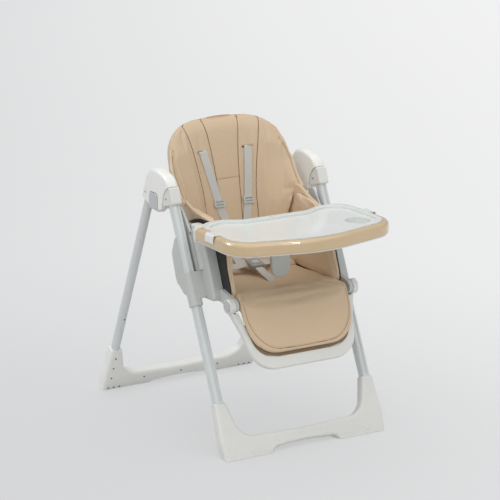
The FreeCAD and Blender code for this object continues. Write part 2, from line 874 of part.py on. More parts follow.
def back_shell():
    """Hollow rear housing behind the pad, with strap slots and stiffening ribs."""
    front = back_pad + 0.3
    rear = front + shell_depth
    shell = prism_y(back_outline(9, back_taper), front, rear)
    shell = softened(shell, 9, flat_in("y", rear))
    core = prism_y(back_outline(13, back_taper), front + 3.5, rear - 3.5)
    for z in (110, 200, 290, back_length - 72):
        core = core.cut(box(-back_half, back_half, 0, 100, z, z + 3))
    for x in (-120, 0, 120):
        core = core.cut(box(x - 1.5, x + 1.5, 0, 100, 0, back_length))
    shell = shell.cut(core)
    hinge_x = back_low_half - 16
    for flip in (False, True):
        knuckle = rod_x(12, hinge_x, back_low_half + 10, -recline_n, recline_v)
        link = box(hinge_x, back_low_half - 9, -recline_n, front + 5, recline_v - 6, 15.6)
        link = link.fuse(box(hinge_x, back_low_half - 9, front, front + 5, recline_v, 40))
        pin = rod_x(recline_pin_radius, back_low_half + 9, shell_half, -recline_n, recline_v)
        hinge = knuckle.fuse([link, pin])
        shell = shell.fuse(mirrored(hinge) if flip else hinge)
    low = back_length - handle_drop
    pocket = box(-70, 70, rear - 8, rear + 5, low - 2, low + handle_height + 8)
    return shell.removeSplitter().cut(pocket)


def recline_handle():
    """Squeeze bar in a pocket at the top of the back housing."""
    rear = back_pad + 0.3 + shell_depth
    low = back_length - handle_drop
    high = low + handle_height
    bar = prism_y([(-62, low, 8), (62, low, 8), (62, high, 8), (-62, high, 8)], rear - 7.6, rear + 9)
    return bevelled(bar, 2.4, flat_in("y", rear + 9))


write("back_cushion", on_back(back_cushion()))
write("back_shell", on_back(back_shell()))
write("recline_handle", on_back(recline_handle()))


# ---------------------------------------------------------------- harness
def band(x0, v0, x1, v1, depth):
    """Flat webbing along the back from (x0, v0) to (x1, v1)."""
    length = math.hypot(x1 - x0, v1 - v0)
    half = strap_width / 2
    strip = box(-half, half, -depth - strap_thickness, -depth, 0, length)
    angle = math.degrees(math.atan2(x1 - x0, v1 - v0))
    strip.rotate(Vec(0, 0, 0), Vec(0, 1, 0), angle)
    return moved(strip, x0, 0, v0)


for name, side in (("left", -1), ("right", 1)):
    mid = adjuster_x[name]
    low_x, low_v = strap_low[name]
    upper = band(mid, adjuster_v, side * slit_x, slit_v, strap_gap)
    lower = band(low_x, low_v, mid, adjuster_v, strap_gap)
    write("shoulder_strap_" + name, on_back(upper.fuse(lower).removeSplitter()))
    under = -strap_gap - strap_thickness - 0.1
    slide = prism_y([(-18, -11, 3), (18, -11, 3), (18, 11, 3), (-18, 11, 3)], -6.6, under)
    for z in (-5.5, 3.0):
        slide = slide.cut(box(-13, 13, -8, -2, z, z + 3))
    write("strap_adjuster_" + name, on_back(moved(slide, mid, 0, adjuster_v)))

def on_strap(shape):
    """From strap coordinates (Z along the crotch strap, -Y its upper side) to the chair."""
    return moved(turned(shape, strap_slope - 90, 0, 0), 0, crotch_y, seat_top + 4)


def crotch_strap():
    """Webbing from the slot in the pan, laid back over the seat up to the buckle."""
    angle = math.radians(strap_slope)
    run = (math.cos(angle), math.sin(angle))
    reach = buckle_reach - buckle_length / 2 + 4
    half = strap_thickness / 2
    end_y = crotch_y + reach * run[0]
    end_z = seat_top + 4 + reach * run[1]
    return prism_x([
        (crotch_y + half, pan_top - 2, 0),
        (crotch_y + half, seat_top + 4 - half, 0),
        (end_y + half * run[1], end_z - half * run[0], 0),
        (end_y - half * run[1], end_z + half * run[0], 0),
        (crotch_y - half, seat_top + 4 + half, 0),
        (crotch_y - half, pan_top - 2, 0),
    ], -crotch_half, crotch_half)


def buckle():
    """Buckle housing with a pocket for the release button and a slot for the strap."""
    low = buckle_reach - buckle_length / 2
    high = buckle_reach + buckle_length / 2
    body = prism_x([(-8, low, 5), (8, low, 5), (7, high, 5), (-7, high, 5)], -buckle_half, buckle_half)
    body = bevelled(body, 2.5, either(flat_in("x", -buckle_half), flat_in("x", buckle_half)))
    body = body.cut(box(-11.4, 11.4, -12, -5, buckle_reach - 10.4, buckle_reach + 8.4))
    return body.cut(box(-crotch_half - 0.1, crotch_half + 0.1, -1, 1, low - 1, low + 4.2))


def buckle_button():
    low = buckle_reach - 10
    high = buckle_reach + 8
    return prism_y([(-11, low, 4), (11, low, 4), (11, high, 4), (-11, high, 4)], -8.6, -6.6)


def lap_strap():
    """Waist webbing from the buckle's tongue to the side wing."""
    angle = math.radians(strap_slope)
    tongue = buckle_reach + buckle_length / 2 - 14
    start_y = crotch_y + tongue * math.cos(angle)
    start = Vec(buckle_half + 0.6, start_y, seat_top + 4 + tongue * math.sin(angle))
    end = Vec(shell_half - shell_wall - wing_thickness - 1.5, -84, seat_top + 24)
    reach = end - start
    lap = Part.makeBox(reach.Length, strap_thickness, strap_width, Vec(0, 0, -strap_width / 2))
    lap.rotate(Vec(0, 0, 0), Vec(0, 1, 0), -math.degrees(math.asin(reach.z / reach.Length)))
    lap.rotate(Vec(0, 0, 0), Vec(0, 0, 1), math.degrees(math.atan2(reach.y, reach.x)))
    return moved(lap, start.x, start.y, start.z)


write("crotch_strap", crotch_strap())
write("buckle", on_strap(buckle()))
write("buckle_button", on_strap(buckle_button()))
write_pair("lap_strap", lap_strap())


# ---------------------------------------------------------------- tray
def tray_outline(extra):
    side = tray_half + extra
    return both_sides([
        (0, -236 + extra, 200),
        (112, -236 + extra, 60),
        (160, -208 + extra, 50),
        (side - 4, -202 + extra, 60),
        (side, -452 - extra, 74 + extra),
        (0, -523 - extra, 360),
    ])


def tray_rim():
    """Glossy beige surround of the tray, open towards the sitter."""
    ring = prism_z(tray_outline(rim_width), tray_low, tray_top - 1)
    ring = softened(ring, 13, flat_in("z", tray_top - 1))
    ring = softened(ring, 5, flat_in("z", tray_low))
    ring = ring.cut(prism_z(tray_outline(-2), tray_low - 1, tray_top + 1))
    return ring.cut(box(-320, 320, rim_end, 0, tray_low - 1, tray_top + 1))


def tray_base():
    """White lower body with two arms that ride the rails."""
    body = prism_z(tray_outline(-2.4), tray_low - 3.6, tray_top - 8)
    lip = prism_z(tray_outline(rim_width - 5), tray_low - 3.6, tray_low - 0.2)
    body = body.fuse(lip)
    cap = prism_z(tray_outline(rim_width), tray_low - 3.6, tray_top - 5)
    cap = softened(cap, 9, flat_in("z", tray_top - 5))
    cap = cap.cut(prism_z(tray_outline(-2.2), tray_top - 8, tray_top))
    cap = cap.cut(box(-320, 320, -700, rim_end + 0.3, tray_low - 5, tray_top))
    cap = cap.cut(box(-tray_half + 46, tray_half - 46, -300, 0, tray_low - 5, tray_top))
    body = body.fuse(cap)
    hollow = prism_z(tray_outline(-7), tray_low - 5, tray_top - 12)
    ribs = [box(-300, 300, y, y + 3, 500, 700) for y in (-440, -360)]
    ribs += [box(x - 1.5, x + 1.5, -600, -100, 500, 700) for x in (-150, 0, 150)]
    ribs.append(box(-44, 44, post_y - 14, post_y + 14, 500, 700))
    ribs.append(box(-52, 52, latch_y - 22, latch_y + 17, 500, 700))
    ribs += [box(190, 246, -300, -100, 500, 700), box(-246, -190, -300, -100, 500, 700)]
    for rib in ribs:
        hollow = hollow.cut(rib)
    body = body.cut(hollow)
    arm = prism_z([
        (rail_inner - 6, -262, 0),
        (rail_outer + 6, -262, 0),
        (rail_outer + 6, -128, 12),
        (rail_inner - 6, -128, 12),
    ], tray_low + 0.4, rail_top + 9)
    arm = softened(arm, 4, flat_in("z", rail_top + 9))
    body = body.fuse([arm, mirrored(arm)]).removeSplitter()
    slot = box(rail_inner - slide_gap, rail_outer + slide_gap, -262, -100, tray_low - 8, rail_top + slide_gap)
    over = box(190, 246, -262, -100, tray_low - 8, tray_low + 0.4)
    for cutter in (slot, over):
        body = body.cut(cutter).cut(mirrored(cutter))
    pocket = box(-48.4, 48.4, latch_y - 18.4, latch_y + 13.4, tray_low - 5, tray_low + 10.4)
    well = cup_blank(3.4, tray_top - 36, tray_top)
    return body.cut([pocket, well, crotch_post()])


def cup_blank(extra, low, high):
    return Part.makeCylinder(cup_radius + extra, high - low, Vec(cup_x, cup_y, low))


def tray_insert():
    """Lift-off liner with a raised edge, a cup well and two clips over the rim."""
    plate = prism_z(tray_outline(-2.4), tray_top - 7.6, tray_top + 1)
    rear_lip = prism_z(tray_outline(-2.4), tray_top, tray_top + 3.5)
    rear_lip = rear_lip.cut(prism_z(tray_outline(-8), tray_top - 1, tray_top + 5))
    rear_lip = rear_lip.cut(box(-320, 320, -700, -300, 600, 700))
    plate = plate.fuse(rear_lip)
    well = cup_blank(2.6, tray_top - 34, tray_top - 5)
    plate = plate.fuse(well)
    plate = plate.cut(prism_z(tray_outline(-18), insert_floor + 4, tray_top + 20))
    plate = plate.cut(cup_blank(0, tray_top - 31, tray_top + 5))
    clip = prism_y([
        (tray_half - 8, tray_top - 3, 0),
        (tray_half - 8, tray_top + 2.4, 0),
        (tray_half + rim_width + 3.4, tray_top + 2.4, 9),
        (tray_half + rim_width + 3.4, tray_top - 22, 0.8),
        (tray_half + rim_width + 0.8, tray_top - 22, 0.8),
        (tray_half + rim_width + 0.8, tray_top - 0.4, 8),
    ], -352, -308)
    clip = clip.cut(prism_z(tray_outline(rim_width + 0.6), tray_top - 30, tray_top - 0.6))
    return plate.fuse([clip, mirrored(clip)]).removeSplitter()


def crotch_post():
    """Tongue under the tray that keeps the sitter from sliding out."""
    post = prism_y(both_sides([
        (37, tray_low + 20, 0),
        (31, post_bottom, 27),
    ]), post_y - 7, post_y + 7)
    return softened(post, 4, either(flat_in("y", post_y - 7), flat_in("y", post_y + 7)))


def tray_latch():
    """Squeeze lever under the tray's front edge."""
    bar = prism_z([
        (-48, latch_y - 13, 6),
        (48, latch_y - 13, 6),
        (48, latch_y + 13, 6),
        (-48, latch_y + 13, 6),
    ], tray_low - 9, tray_low + 10)
    return bevelled(bar, 2.4, flat_in("z", tray_low - 9))


write("tray_rim", tray_rim())
write("tray_base", tray_base())
write("tray_insert", tray_insert())
write("crotch_post", crotch_post())
write("tray_latch", tray_latch())
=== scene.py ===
"""Visual model of a folding baby high chair with a reclining bucket seat.

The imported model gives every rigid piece.  This script gives those pieces their finishes, makes the
upholstery, harness webbing, piping and thread as meshes of their own, and lights the whole in a plain
studio.  Everything is in metres: X is across the chair, the sitter faces -Y and Z is up.
"""
import json
import logging
import math
from dataclasses import dataclass
from enum import Enum
from typing import Optional, Sequence, Union

import bmesh
import bpy
import numpy as np
from mathutils import Matrix, Vector
from mathutils.bvhtree import BVHTree


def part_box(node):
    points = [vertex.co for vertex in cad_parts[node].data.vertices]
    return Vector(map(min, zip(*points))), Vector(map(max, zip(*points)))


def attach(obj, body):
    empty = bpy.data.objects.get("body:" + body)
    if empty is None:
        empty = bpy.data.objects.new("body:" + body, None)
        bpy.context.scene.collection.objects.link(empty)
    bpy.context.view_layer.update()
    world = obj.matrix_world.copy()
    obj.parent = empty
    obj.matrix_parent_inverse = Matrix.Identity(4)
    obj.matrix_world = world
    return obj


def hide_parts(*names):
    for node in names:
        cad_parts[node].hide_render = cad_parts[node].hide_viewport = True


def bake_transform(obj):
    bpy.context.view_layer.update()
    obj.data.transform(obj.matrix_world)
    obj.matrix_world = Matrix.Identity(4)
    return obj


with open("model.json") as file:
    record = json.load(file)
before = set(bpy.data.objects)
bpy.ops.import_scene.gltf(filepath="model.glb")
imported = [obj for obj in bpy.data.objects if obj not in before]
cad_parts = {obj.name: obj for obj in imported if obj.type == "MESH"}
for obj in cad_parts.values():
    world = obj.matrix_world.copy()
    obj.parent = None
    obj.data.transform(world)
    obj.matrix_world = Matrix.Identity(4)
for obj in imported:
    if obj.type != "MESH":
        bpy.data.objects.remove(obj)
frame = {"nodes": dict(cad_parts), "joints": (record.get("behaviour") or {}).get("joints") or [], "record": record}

log = logging.getLogger("high_chair")
MM = 0.001
MERGE = 1e-5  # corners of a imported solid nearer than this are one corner
TINY = 1e-9  # keeps a length from being divided by zero
SIDES = {"left": -1, "right": 1}

# the back's own frame starts in front of the recline hinge and below it; the leans are in degrees
BACK_LEAN = 13.4
BACK_FORWARD = 0.014
BACK_BELOW = 0.002
REST_LEAN = 28.0

Colour = tuple[float, float, float]
Piece = bpy.types.Object
Socket = bpy.types.NodeSocket
SocketInput = Union["Value", Socket, float, tuple, None]


def srgb(red: int, green: int, blue: int) -> Colour:
    """Linear colour of a display colour with channels from 0 to 255: each share is raised to 2.4."""
    def linear(channel: int) -> float:
        """One channel without its display curve, for colours that aren't nearly black."""
        return ((channel / 255 + 0.055) / 1.055) ** 2.4
    return linear(red), linear(green), linear(blue)


def toned(colour: Colour, factor: float) -> Colour:
    """Colour made darker or lighter by a factor, held at white."""
    return tuple(min(1.0, channel * factor) for channel in colour)


# ------------------------------------------------------------------------------------ shader maths
class Value:
    """A number that varies over a surface; each operator used on it adds one Math node."""

    def __init__(self, graph: "Graph", socket: Socket) -> None:
        """Wrap a socket of a graph."""
        self.graph = graph
        self.socket = socket

    def _with(self, operation: str, first: SocketInput, second: SocketInput) -> "Value":
        """Result of a Math node on two inputs."""
        node = self.graph.node("ShaderNodeMath", {"operation": operation}, {0: first, 1: second})
        return Value(self.graph, node.outputs[0])

    def __add__(self, other: SocketInput) -> "Value":
        """Sum."""
        return self._with("ADD", self, other)

    __radd__ = __add__

    def __sub__(self, other: SocketInput) -> "Value":
        """Difference."""
        return self._with("SUBTRACT", self, other)

    def __rsub__(self, other: SocketInput) -> "Value":
        """Difference the other way round."""
        return self._with("SUBTRACT", other, self)

    def __mul__(self, other: SocketInput) -> "Value":
        """Product."""
        return self._with("MULTIPLY", self, other)

    __rmul__ = __mul__

    def sine(self) -> "Value":
        """Sine of the value in radians."""
        return self._with("SINE", self, None)

    def size(self) -> "Value":
        """Value without its sign."""
        return self._with("ABSOLUTE", self, None)

    def above(self, other: "Value") -> "Value":
        """The larger of two values."""
        return self._with("MAXIMUM", self, other)

    def band(self, low: float, high: float) -> "Value":
        """Smooth step from 0 at low to 1 at high.

        Args:
            low: Value that gives 0.
            high: Value that gives 1; it may be less than low.

        Returns:
            The stepped value.
        """
        settings = {"interpolation_type": "SMOOTHSTEP"}
        turned = low > high
        ends = {"From Min": min(low, high), "From Max": max(low, high)}
        ends["To Min"] = 1.0 if turned else 0.0
        ends["To Max"] = 0.0 if turned else 1.0
        node = self.graph.node("ShaderNodeMapRange", settings, {"Value": self, **ends})
        return Value(self.graph, node.outputs[0])


class Graph:
    """The nodes of one material."""

    def __init__(self, name: str) -> None:
        """Start a material with nothing but an output and one Principled shader.

        Args:
            name: Name of the material.
        """
        self.material = bpy.data.materials.new(name)
        self.material.use_nodes = True
        self.tree = self.material.node_tree
        self.tree.nodes.clear()
        self.output = self.node("ShaderNodeOutputMaterial")
        self.shader = self.node("ShaderNodeBsdfPrincipled")
        self.link(self.shader.outputs[0], self.output.inputs[0])

    def link(self, source: Socket, target: Socket) -> None:
        """Join two sockets."""
        self.tree.links.new(source, target)

    def node(self, kind: str, settings: Optional[dict] = None,
             inputs: Optional[dict[Union[str, int], SocketInput]] = None) -> bpy.types.Node:
        """Add a node.

        Args:
            kind: Blender's name of the node type.
            settings: Its options, set first.
            inputs: A value, a Value or a socket for each input by name or number.

        Returns:
            The node.
        """
        node = self.tree.nodes.new(kind)
        for key, setting in (settings or {}).items():
            setattr(node, key, setting)
        for key, given in (inputs or {}).items():
            self._feed(node.inputs[key], given)
        return node

    def _feed(self, socket: Socket, given: SocketInput) -> None:
        """Give an input its link or its number; nothing given leaves it as it is.

        Args:
            socket: The input.
            given: A Value, a socket, a number, or a colour, which gets its alpha where it lacks one.
        """
        if isinstance(given, Value):
            self.link(given.socket, socket)
        elif isinstance(given, Socket):
            self.link(given, socket)
        elif given is not None:
            lacks_alpha = isinstance(given, tuple) and len(given) == 3 and socket.type == "RGBA"
            socket.default_value = (*given, 1.0) if lacks_alpha else given

    def place(self) -> Socket:
        """Position on the piece in metres."""
        return self.node("ShaderNodeTexCoord").outputs["Object"]

    def part_of(self, vector: Socket, axis: int) -> Value:
        """One component of a vector."""
        split = self.node("ShaderNodeSeparateXYZ", inputs={0: vector})
        return Value(self, split.outputs[axis])

    def noise(self, scale: float, detail: float = 2.0) -> Value:
        """Soft random value around one half; scale is in cycles a metre."""
        inputs = {"Vector": self.place(), "Scale": scale, "Detail": detail}
        return Value(self, self.node("ShaderNodeTexNoise", inputs=inputs).outputs[0])

    def cells(self, scale: float, feature: str = "F1") -> Value:
        """Distance inside random cells; scale is in cells a metre."""
        inputs = {"Vector": self.place(), "Scale": scale}
        return Value(self, self.node("ShaderNodeTexVoronoi", {"feature": feature}, inputs).outputs[0])

    def stored(self, name: str) -> Value:
        """A number kept on the mesh's points under a name."""
        return Value(self, self.node("ShaderNodeAttribute", {"attribute_name": name}).outputs["Fac"])

    def blend(self, amount: SocketInput, first: SocketInput, second: SocketInput) -> Socket:
        """Mix of two colours; the amount is the share of the second."""
        node = self.node("ShaderNodeMix", {"data_type": "RGBA"}, {0: amount, 6: first, 7: second})
        return node.outputs[2]

    def bump(self, height: Value, depth: float, strength: float = 1.0,
             under: Optional[Socket] = None) -> Socket:
        """Normal of the surface raised by height times depth metres, over the relief under it."""
        inputs = {"Height": height, "Distance": depth, "Strength": strength, "Normal": under}
        return self.node("ShaderNodeBump", inputs=inputs).outputs[0]

    def finish(self, **sockets: SocketInput) -> bpy.types.Material:
        """Set the shader's sockets, named with underscores for spaces, and return the material."""
        for key, given in sockets.items():
            self._feed(self.shader.inputs[key.replace("_", " ")], given)
        return self.material


# ------------------------------------------------------------------------------------ finishes
@dataclass(frozen=True)
class Finish:
    """A finish: its material's name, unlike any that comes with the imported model, and its main colour."""

    name: str
    colour: Colour


@dataclass(frozen=True)
class Moulded(Finish):
    """Injection-moulded plastic: a fine spark-eroded skin, slow colour drift and floor scuffs."""

    roughness: float
    grain: float = 1600.0
    grain_depth: float = 0.00004
    coat: float = 0.0
    scuffed: bool = False

    def build(self) -> bpy.types.Material:
        """Lay the finish.

        Returns:
            The material, with its skin and marks.
        """
        graph = Graph(self.name)
        drift = graph.noise(7.0, 3.0)
        cloud = graph.noise(60.0, 4.0)
        darker = toned(self.colour, 0.93)
        colour = graph.blend(drift.band(0.35, 0.65) * 0.5, self.colour, darker)
        rough = (cloud - 0.5) * 0.12 + self.roughness
        if self.scuffed:
            low = graph.part_of(graph.place(), 2).band(0.07, 0.0)
            marks = graph.noise(210.0, 5.0).band(0.56, 0.70) * low
            colour = graph.blend(marks * 0.35, colour, srgb(150, 146, 138))
            rough = rough + marks * 0.15
        skin = graph.noise(self.grain, 2.0)
        normal = graph.bump(skin, self.grain_depth, 0.6)
        return graph.finish(Base_Color=colour, Roughness=rough, Normal=normal, Coat_Weight=self.coat,
                            Coat_Roughness=0.04, IOR=1.48)


@dataclass(frozen=True)
class PaintedTube(Finish):
    """Powder-coated steel tube: faint orange peel and slow change of sheen."""

    roughness: float

    def build(self) -> bpy.types.Material:
        """Lay the finish.

        Returns:
            The material, with its peel.
        """
        graph = Graph(self.name)
        drift = graph.noise(9.0, 2.0).band(0.3, 0.7)
        darker = toned(self.colour, 0.95)
        peel = graph.noise(420.0, 2.0)
        specks = graph.cells(900.0).band(0.12, 0.05)
        colour = graph.blend(drift * 0.5, self.colour, darker)
        colour = graph.blend(specks * 0.12, colour, srgb(176, 182, 188))
        rough = (graph.noise(35.0, 3.0) - 0.5) * 0.14 + self.roughness
        normal = graph.bump(peel, 0.00006, 0.5)
        return graph.finish(Base_Color=colour, Roughness=rough, Normal=normal, Coat_Weight=0.25,
                            Coat_Roughness=0.12)


@dataclass(frozen=True)
class Leatherette(Finish):
    """Coated upholstery cloth: pebbled grain, soft folds in its bump, and painted shade along the seams."""

    shade: Colour
    roughness: float = 0.46

    def build(self) -> bpy.types.Material:
        """Lay the finish.

        Returns:
            The material, with grain, bumped folds and painted shade along the seams.
        """
        graph = Graph(self.name)
        pebbles = graph.cells(780.0, "SMOOTH_F1")
        pores = graph.noise(2300.0, 2.0)
        slack = graph.noise(26.0, 2.0)
        drift = graph.noise(5.0, 3.0).band(0.3, 0.7)
        painted_seam_darkening = graph.stored("painted_seam_darkening")
        lighter = toned(self.colour, 1.05)
        colour = graph.blend(drift * 0.5, self.colour, lighter)
        colour = graph.blend(pebbles.band(0.25, 0.6) * 0.10, colour, self.shade)
        # painted shade: the cover darkens towards its shade colour along the seams
        colour = graph.blend(painted_seam_darkening.band(0.25, 1.0) * 0.62, colour, self.shade)
        rough = (graph.noise(48.0, 4.0) - 0.5) * 0.16 + self.roughness + painted_seam_darkening * 0.12
        grained = graph.bump(pebbles + pores * 0.35, 0.00016, 0.55)
        normal = graph.bump(slack, 0.0016, 0.30, grained)
        return graph.finish(Base_Color=colour, Roughness=rough, Normal=normal, Sheen_Weight=0.08,
                            Sheen_Roughness=0.5, Specular_IOR_Level=0.42)


@dataclass(frozen=True)
class Webbing(Finish):
    """Woven strap: ribs across, warp threads along and firm selvedges, laid by the strap's own map."""

    def build(self) -> bpy.types.Material:
        """Lay the finish.

        Returns:
            The material, with its weave.
        """
        graph = Graph(self.name)
        weave = graph.node("ShaderNodeUVMap", {"uv_map": "weave"}).outputs[0]
        across = graph.part_of(weave, 0)
        along = graph.part_of(weave, 1)
        ribs = (along * (math.tau / 0.0016)).sine()
        warp = (across * (math.tau * 17)).sine()
        cross = ribs * warp
        selvedge = (across - 0.5).size().band(0.44, 0.49)
        fuzz = graph.noise(1500.0, 3.0)
        darker = toned(self.colour, 0.90)
        colour = graph.blend(cross.band(-0.6, 0.8), darker, self.colour)
        colour = graph.blend(selvedge * 0.35, colour, darker)
        height = cross * 0.5 + fuzz * 0.4 + selvedge * 0.5
        rough = fuzz * 0.15 + 0.72
        return graph.finish(Base_Color=colour, Roughness=rough, Normal=graph.bump(height, 0.00018, 0.35),
                            Sheen_Weight=0.25, Sheen_Roughness=0.4)


@dataclass(frozen=True)
class Thread(Finish):
    """Twisted polyester sewing thread; the same finish draws the dark tubes of painted shadow in seams and slits.
    """

    def build(self) -> bpy.types.Material:
        """Lay the finish.

        Returns:
            The material, with a fine twist.
        """
        graph = Graph(self.name)
        twist = graph.noise(3200.0, 1.0)
        darker = toned(self.colour, 0.72)
        colour = graph.blend(twist.band(0.4, 0.6), darker, self.colour)
        return graph.finish(Base_Color=colour, Roughness=twist * 0.2 + 0.5,
                            Normal=graph.bump(twist, 0.0001, 0.8))


@dataclass(frozen=True)
class Metal(Finish):
    """Plated steel with fine turning marks."""

    roughness: float

    def build(self) -> bpy.types.Material:
        """Lay the finish.

        Returns:
            The material, with its plating.
        """
        graph = Graph(self.name)
        marks = graph.noise(900.0, 4.0)
        stain = graph.noise(120.0, 3.0)
        darker = toned(self.colour, 0.7)
        colour = graph.blend(stain.band(0.4, 0.7), self.colour, darker)
        return graph.finish(Base_Color=colour, Roughness=marks * 0.2 + self.roughness, Metallic=1.0,
                            Normal=graph.bump(marks, 0.00003, 0.5))


class Look(Enum):
    """The finishes of the chair by the record's slot names, those of the sewn details, and those that paint light
    and shade.
    """

    WHITE = Moulded("white_moulded", srgb(224, 224, 219), 0.42, coat=0.08, scuffed=True)
    WHITE_GLOSS = Moulded("glossy_white", srgb(229, 232, 229), 0.24, grain_depth=0.00001, coat=0.5)
    BEIGE_GLOSS = Moulded("glossy_beige", srgb(204, 179, 139), 0.30, grain_depth=0.00001, coat=1.0)
    # painted light: a lighter copy of the white for the hub domes and the rear base, whose tops catch the light
    WHITE_LIT = Moulded("white_moulded_painted_light", srgb(240, 240, 235), 0.40, coat=0.08)
    # painted shade: a darker copy of the white for the sliders, side panels and crotch post, standing for their
    # shade
    WHITE_SHADED = Moulded("white_moulded_painted_shade", srgb(196, 198, 194), 0.42, coat=0.08)
    BLACK = Moulded("black_moulded", srgb(34, 34, 35), 0.55, grain=1100.0, grain_depth=0.0001)
    GREY = Moulded("grey_moulded", srgb(192, 193, 195), 0.45, grain=1300.0, grain_depth=0.00006)
    BUCKLE = Moulded("buckle_moulded", srgb(158, 158, 154), 0.38, grain=1300.0, grain_depth=0.00004)
    HARNESS = Moulded("harness_moulded", srgb(200, 200, 195), 0.38, grain=1300.0, grain_depth=0.00004)
    TUBE = PaintedTube("painted_tube", srgb(211, 215, 214), 0.30)
    LEATHER = Leatherette("pebbled_leatherette", srgb(213, 188, 157), srgb(112, 86, 58))
    # real piping, coloured a shade lighter than the cover as painted highlight along the edges
    HIGHLIT_WELT = Leatherette("welt_leatherette_painted_highlight", srgb(220, 202, 174), srgb(150, 122, 92), 0.40)
    # painted shade: dark colour for the calf board and the sheet behind the calf pad, where only shade lies
    SHADE_SHEET = Leatherette("painted_shade_sheet", srgb(140, 120, 92), srgb(52, 42, 34), 0.60)
    WEBBING = Webbing("woven_webbing", srgb(205, 204, 199))
    THREAD = Thread("sewing_thread", srgb(196, 168, 138))
    # the next two are not thread: they colour hair-thin tubes of painted shadow laid in the seams
    SEAM = Thread("painted_seam_shadow", srgb(116, 88, 60))
    SHADOW_LINE_SOFT = Thread("soft_painted_seam_shadow", srgb(156, 128, 96))
    # not thread: colours a tube of painted shadow above each strap slit
    SLIT = Thread("painted_slit_shadow", srgb(60, 50, 40))
    RUBBER = Moulded("foot_rubber", srgb(172, 170, 158), 0.75, grain=500.0, grain_depth=0.0002)
    STEEL = Metal("plated_steel", srgb(128, 128, 130), 0.34)

    def material(self) -> bpy.types.Material:
        """The finish's material, made the first time it is asked for."""
        made = bpy.data.materials.get(self.value.name)
        return made if made is not None else self.value.build()


SLOT_LOOKS: dict[str, Look] = {
    "white_plastic": Look.WHITE, "white_gloss": Look.WHITE_GLOSS, "beige_gloss": Look.BEIGE_GLOSS,
    "black_plastic": Look.BLACK, "grey_plastic": Look.GREY, "tube_paint": Look.TUBE,
    "leatherette": Look.LEATHER, "webbing": Look.WEBBING, "rubber": Look.RUBBER, "steel": Look.STEEL,
}
# hub domes take the painted-light copy of the white; sliders and side panels the painted-shade copy
PAIRED_LOOKS: dict[str, Look] = {
    "hub_dome": Look.WHITE_LIT, "slider": Look.WHITE_SHADED, "side_panel": Look.WHITE_SHADED, "strap_adjuster": Look.HARNESS,
}
# rear_base takes the painted-light white, crotch_post the painted-shade white, and calf_board the dark colour of
# painted shade
OWN_LOOKS: dict[str, Look] = {
    "buckle": Look.BUCKLE, "rear_base": Look.WHITE_LIT, "calf_board": Look.SHADE_SHEET, "crotch_post": Look.WHITE_SHADED,
    **{kind + "_" + label: look for kind, look in PAIRED_LOOKS.items() for label in SIDES},
}


# ------------------------------------------------------------------------------------ mesh tools
def add_piece(mesh: bpy.types.Mesh, look: Look, smooth: bool = True) -> Piece:
    """Put a mesh into the scene at the origin.

    Args:
        mesh: The mesh, whose name the piece takes.
        look: Finish of the piece, its only one.
        smooth: Shade the faces smoothly.

    Returns:
        The linked object.
    """
    if smooth:
        mesh.polygons.foreach_set("use_smooth", np.ones(len(mesh.polygons), bool))
    mesh.materials.clear()
    mesh.materials.append(look.material())
    mesh.update()
    piece = bpy.data.objects.new(mesh.name, mesh)
    bpy.context.scene.collection.objects.link(piece)
    return piece


def mesh_of(name: str, points: np.ndarray, faces: Sequence[Sequence[int]]) -> bpy.types.Mesh:
    """Mesh from corner positions, one row each, and the corner numbers of each face."""
    mesh = bpy.data.meshes.new(name)
    mesh.from_pydata(points.reshape(-1, 3).tolist(), [], faces)
    return mesh


def closed_piece(name: str, points: np.ndarray, faces: list[list[int]], look: Look) -> Piece:
    """Closed mesh object whose faces are turned outwards, with no painted seam shade stored yet.

    Args:
        name: Name of the piece.
        points: Corner positions, in rows of three or in a grid of them.
        faces: Corner numbers of each face; caps may have many corners.
        look: Finish of the piece.

    Returns:
        The linked object.
    """
    mesh = mesh_of(name, points, faces)
    shape = bmesh.new()
    shape.from_mesh(mesh)
    bmesh.ops.recalc_face_normals(shape, faces=shape.faces)
    shape.to_mesh(mesh)
    shape.free()
    piece = add_piece(mesh, look)
    store(piece, "painted_seam_darkening", np.zeros(len(mesh.vertices)))
    return piece


def merged_copy(name: str, nodes: Sequence[str]) -> bpy.types.Mesh:
    """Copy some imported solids, with their loose triangles joined at the corners.

    Args:
        name: Name of the mesh.
        nodes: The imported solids.

    Returns:
        The mesh of them all.
    """
    shape = bmesh.new()
    for node in nodes:
        shape.from_mesh(frame["nodes"][node].data)
    bmesh.ops.remove_doubles(shape, verts=shape.verts, dist=MERGE)
    mesh = bpy.data.meshes.new(name)
    shape.to_mesh(mesh)
    shape.free()
    return mesh


def grid_faces(rows: int, columns: int, closed_rows: bool = False,
               closed_columns: bool = False) -> np.ndarray:
    """Quads of a grid whose point (r, c) has the number r * columns + c.

    Args:
        rows: Points down the grid.
        columns: Points across the grid.
        closed_rows: Join the last row to the first.
        closed_columns: Join the last column to the first.

    Returns:
        Four corner numbers a face.
    """
    down = np.arange(rows if closed_rows else rows - 1)[:, None]
    over = np.arange(columns if closed_columns else columns - 1)[None, :]
    below = (down + 1) % rows
    beside = (over + 1) % columns
    quads = np.stack(np.broadcast_arrays(down * columns + over, down * columns + beside,
                                         below * columns + beside, below * columns + over), axis=-1)
    return quads.reshape(-1, 4)


def capped_faces(rows: int, columns: int, step: int = 1) -> list[list[int]]:
    """Quads of a tube of closed rows, with a many-cornered cap over each end row.

    Args:
        rows: Points along the tube.
        columns: Points round it.
        step: 1 or -1, the way round in which the corners of the last cap are told.

    Returns:
        Corner numbers of each face.
    """
    quads = grid_faces(rows, columns, closed_columns=True).tolist()
    first, last = range(columns), range((rows - 1) * columns, rows * columns)
    return quads + [list(first)[::-step], list(last)[::step]]


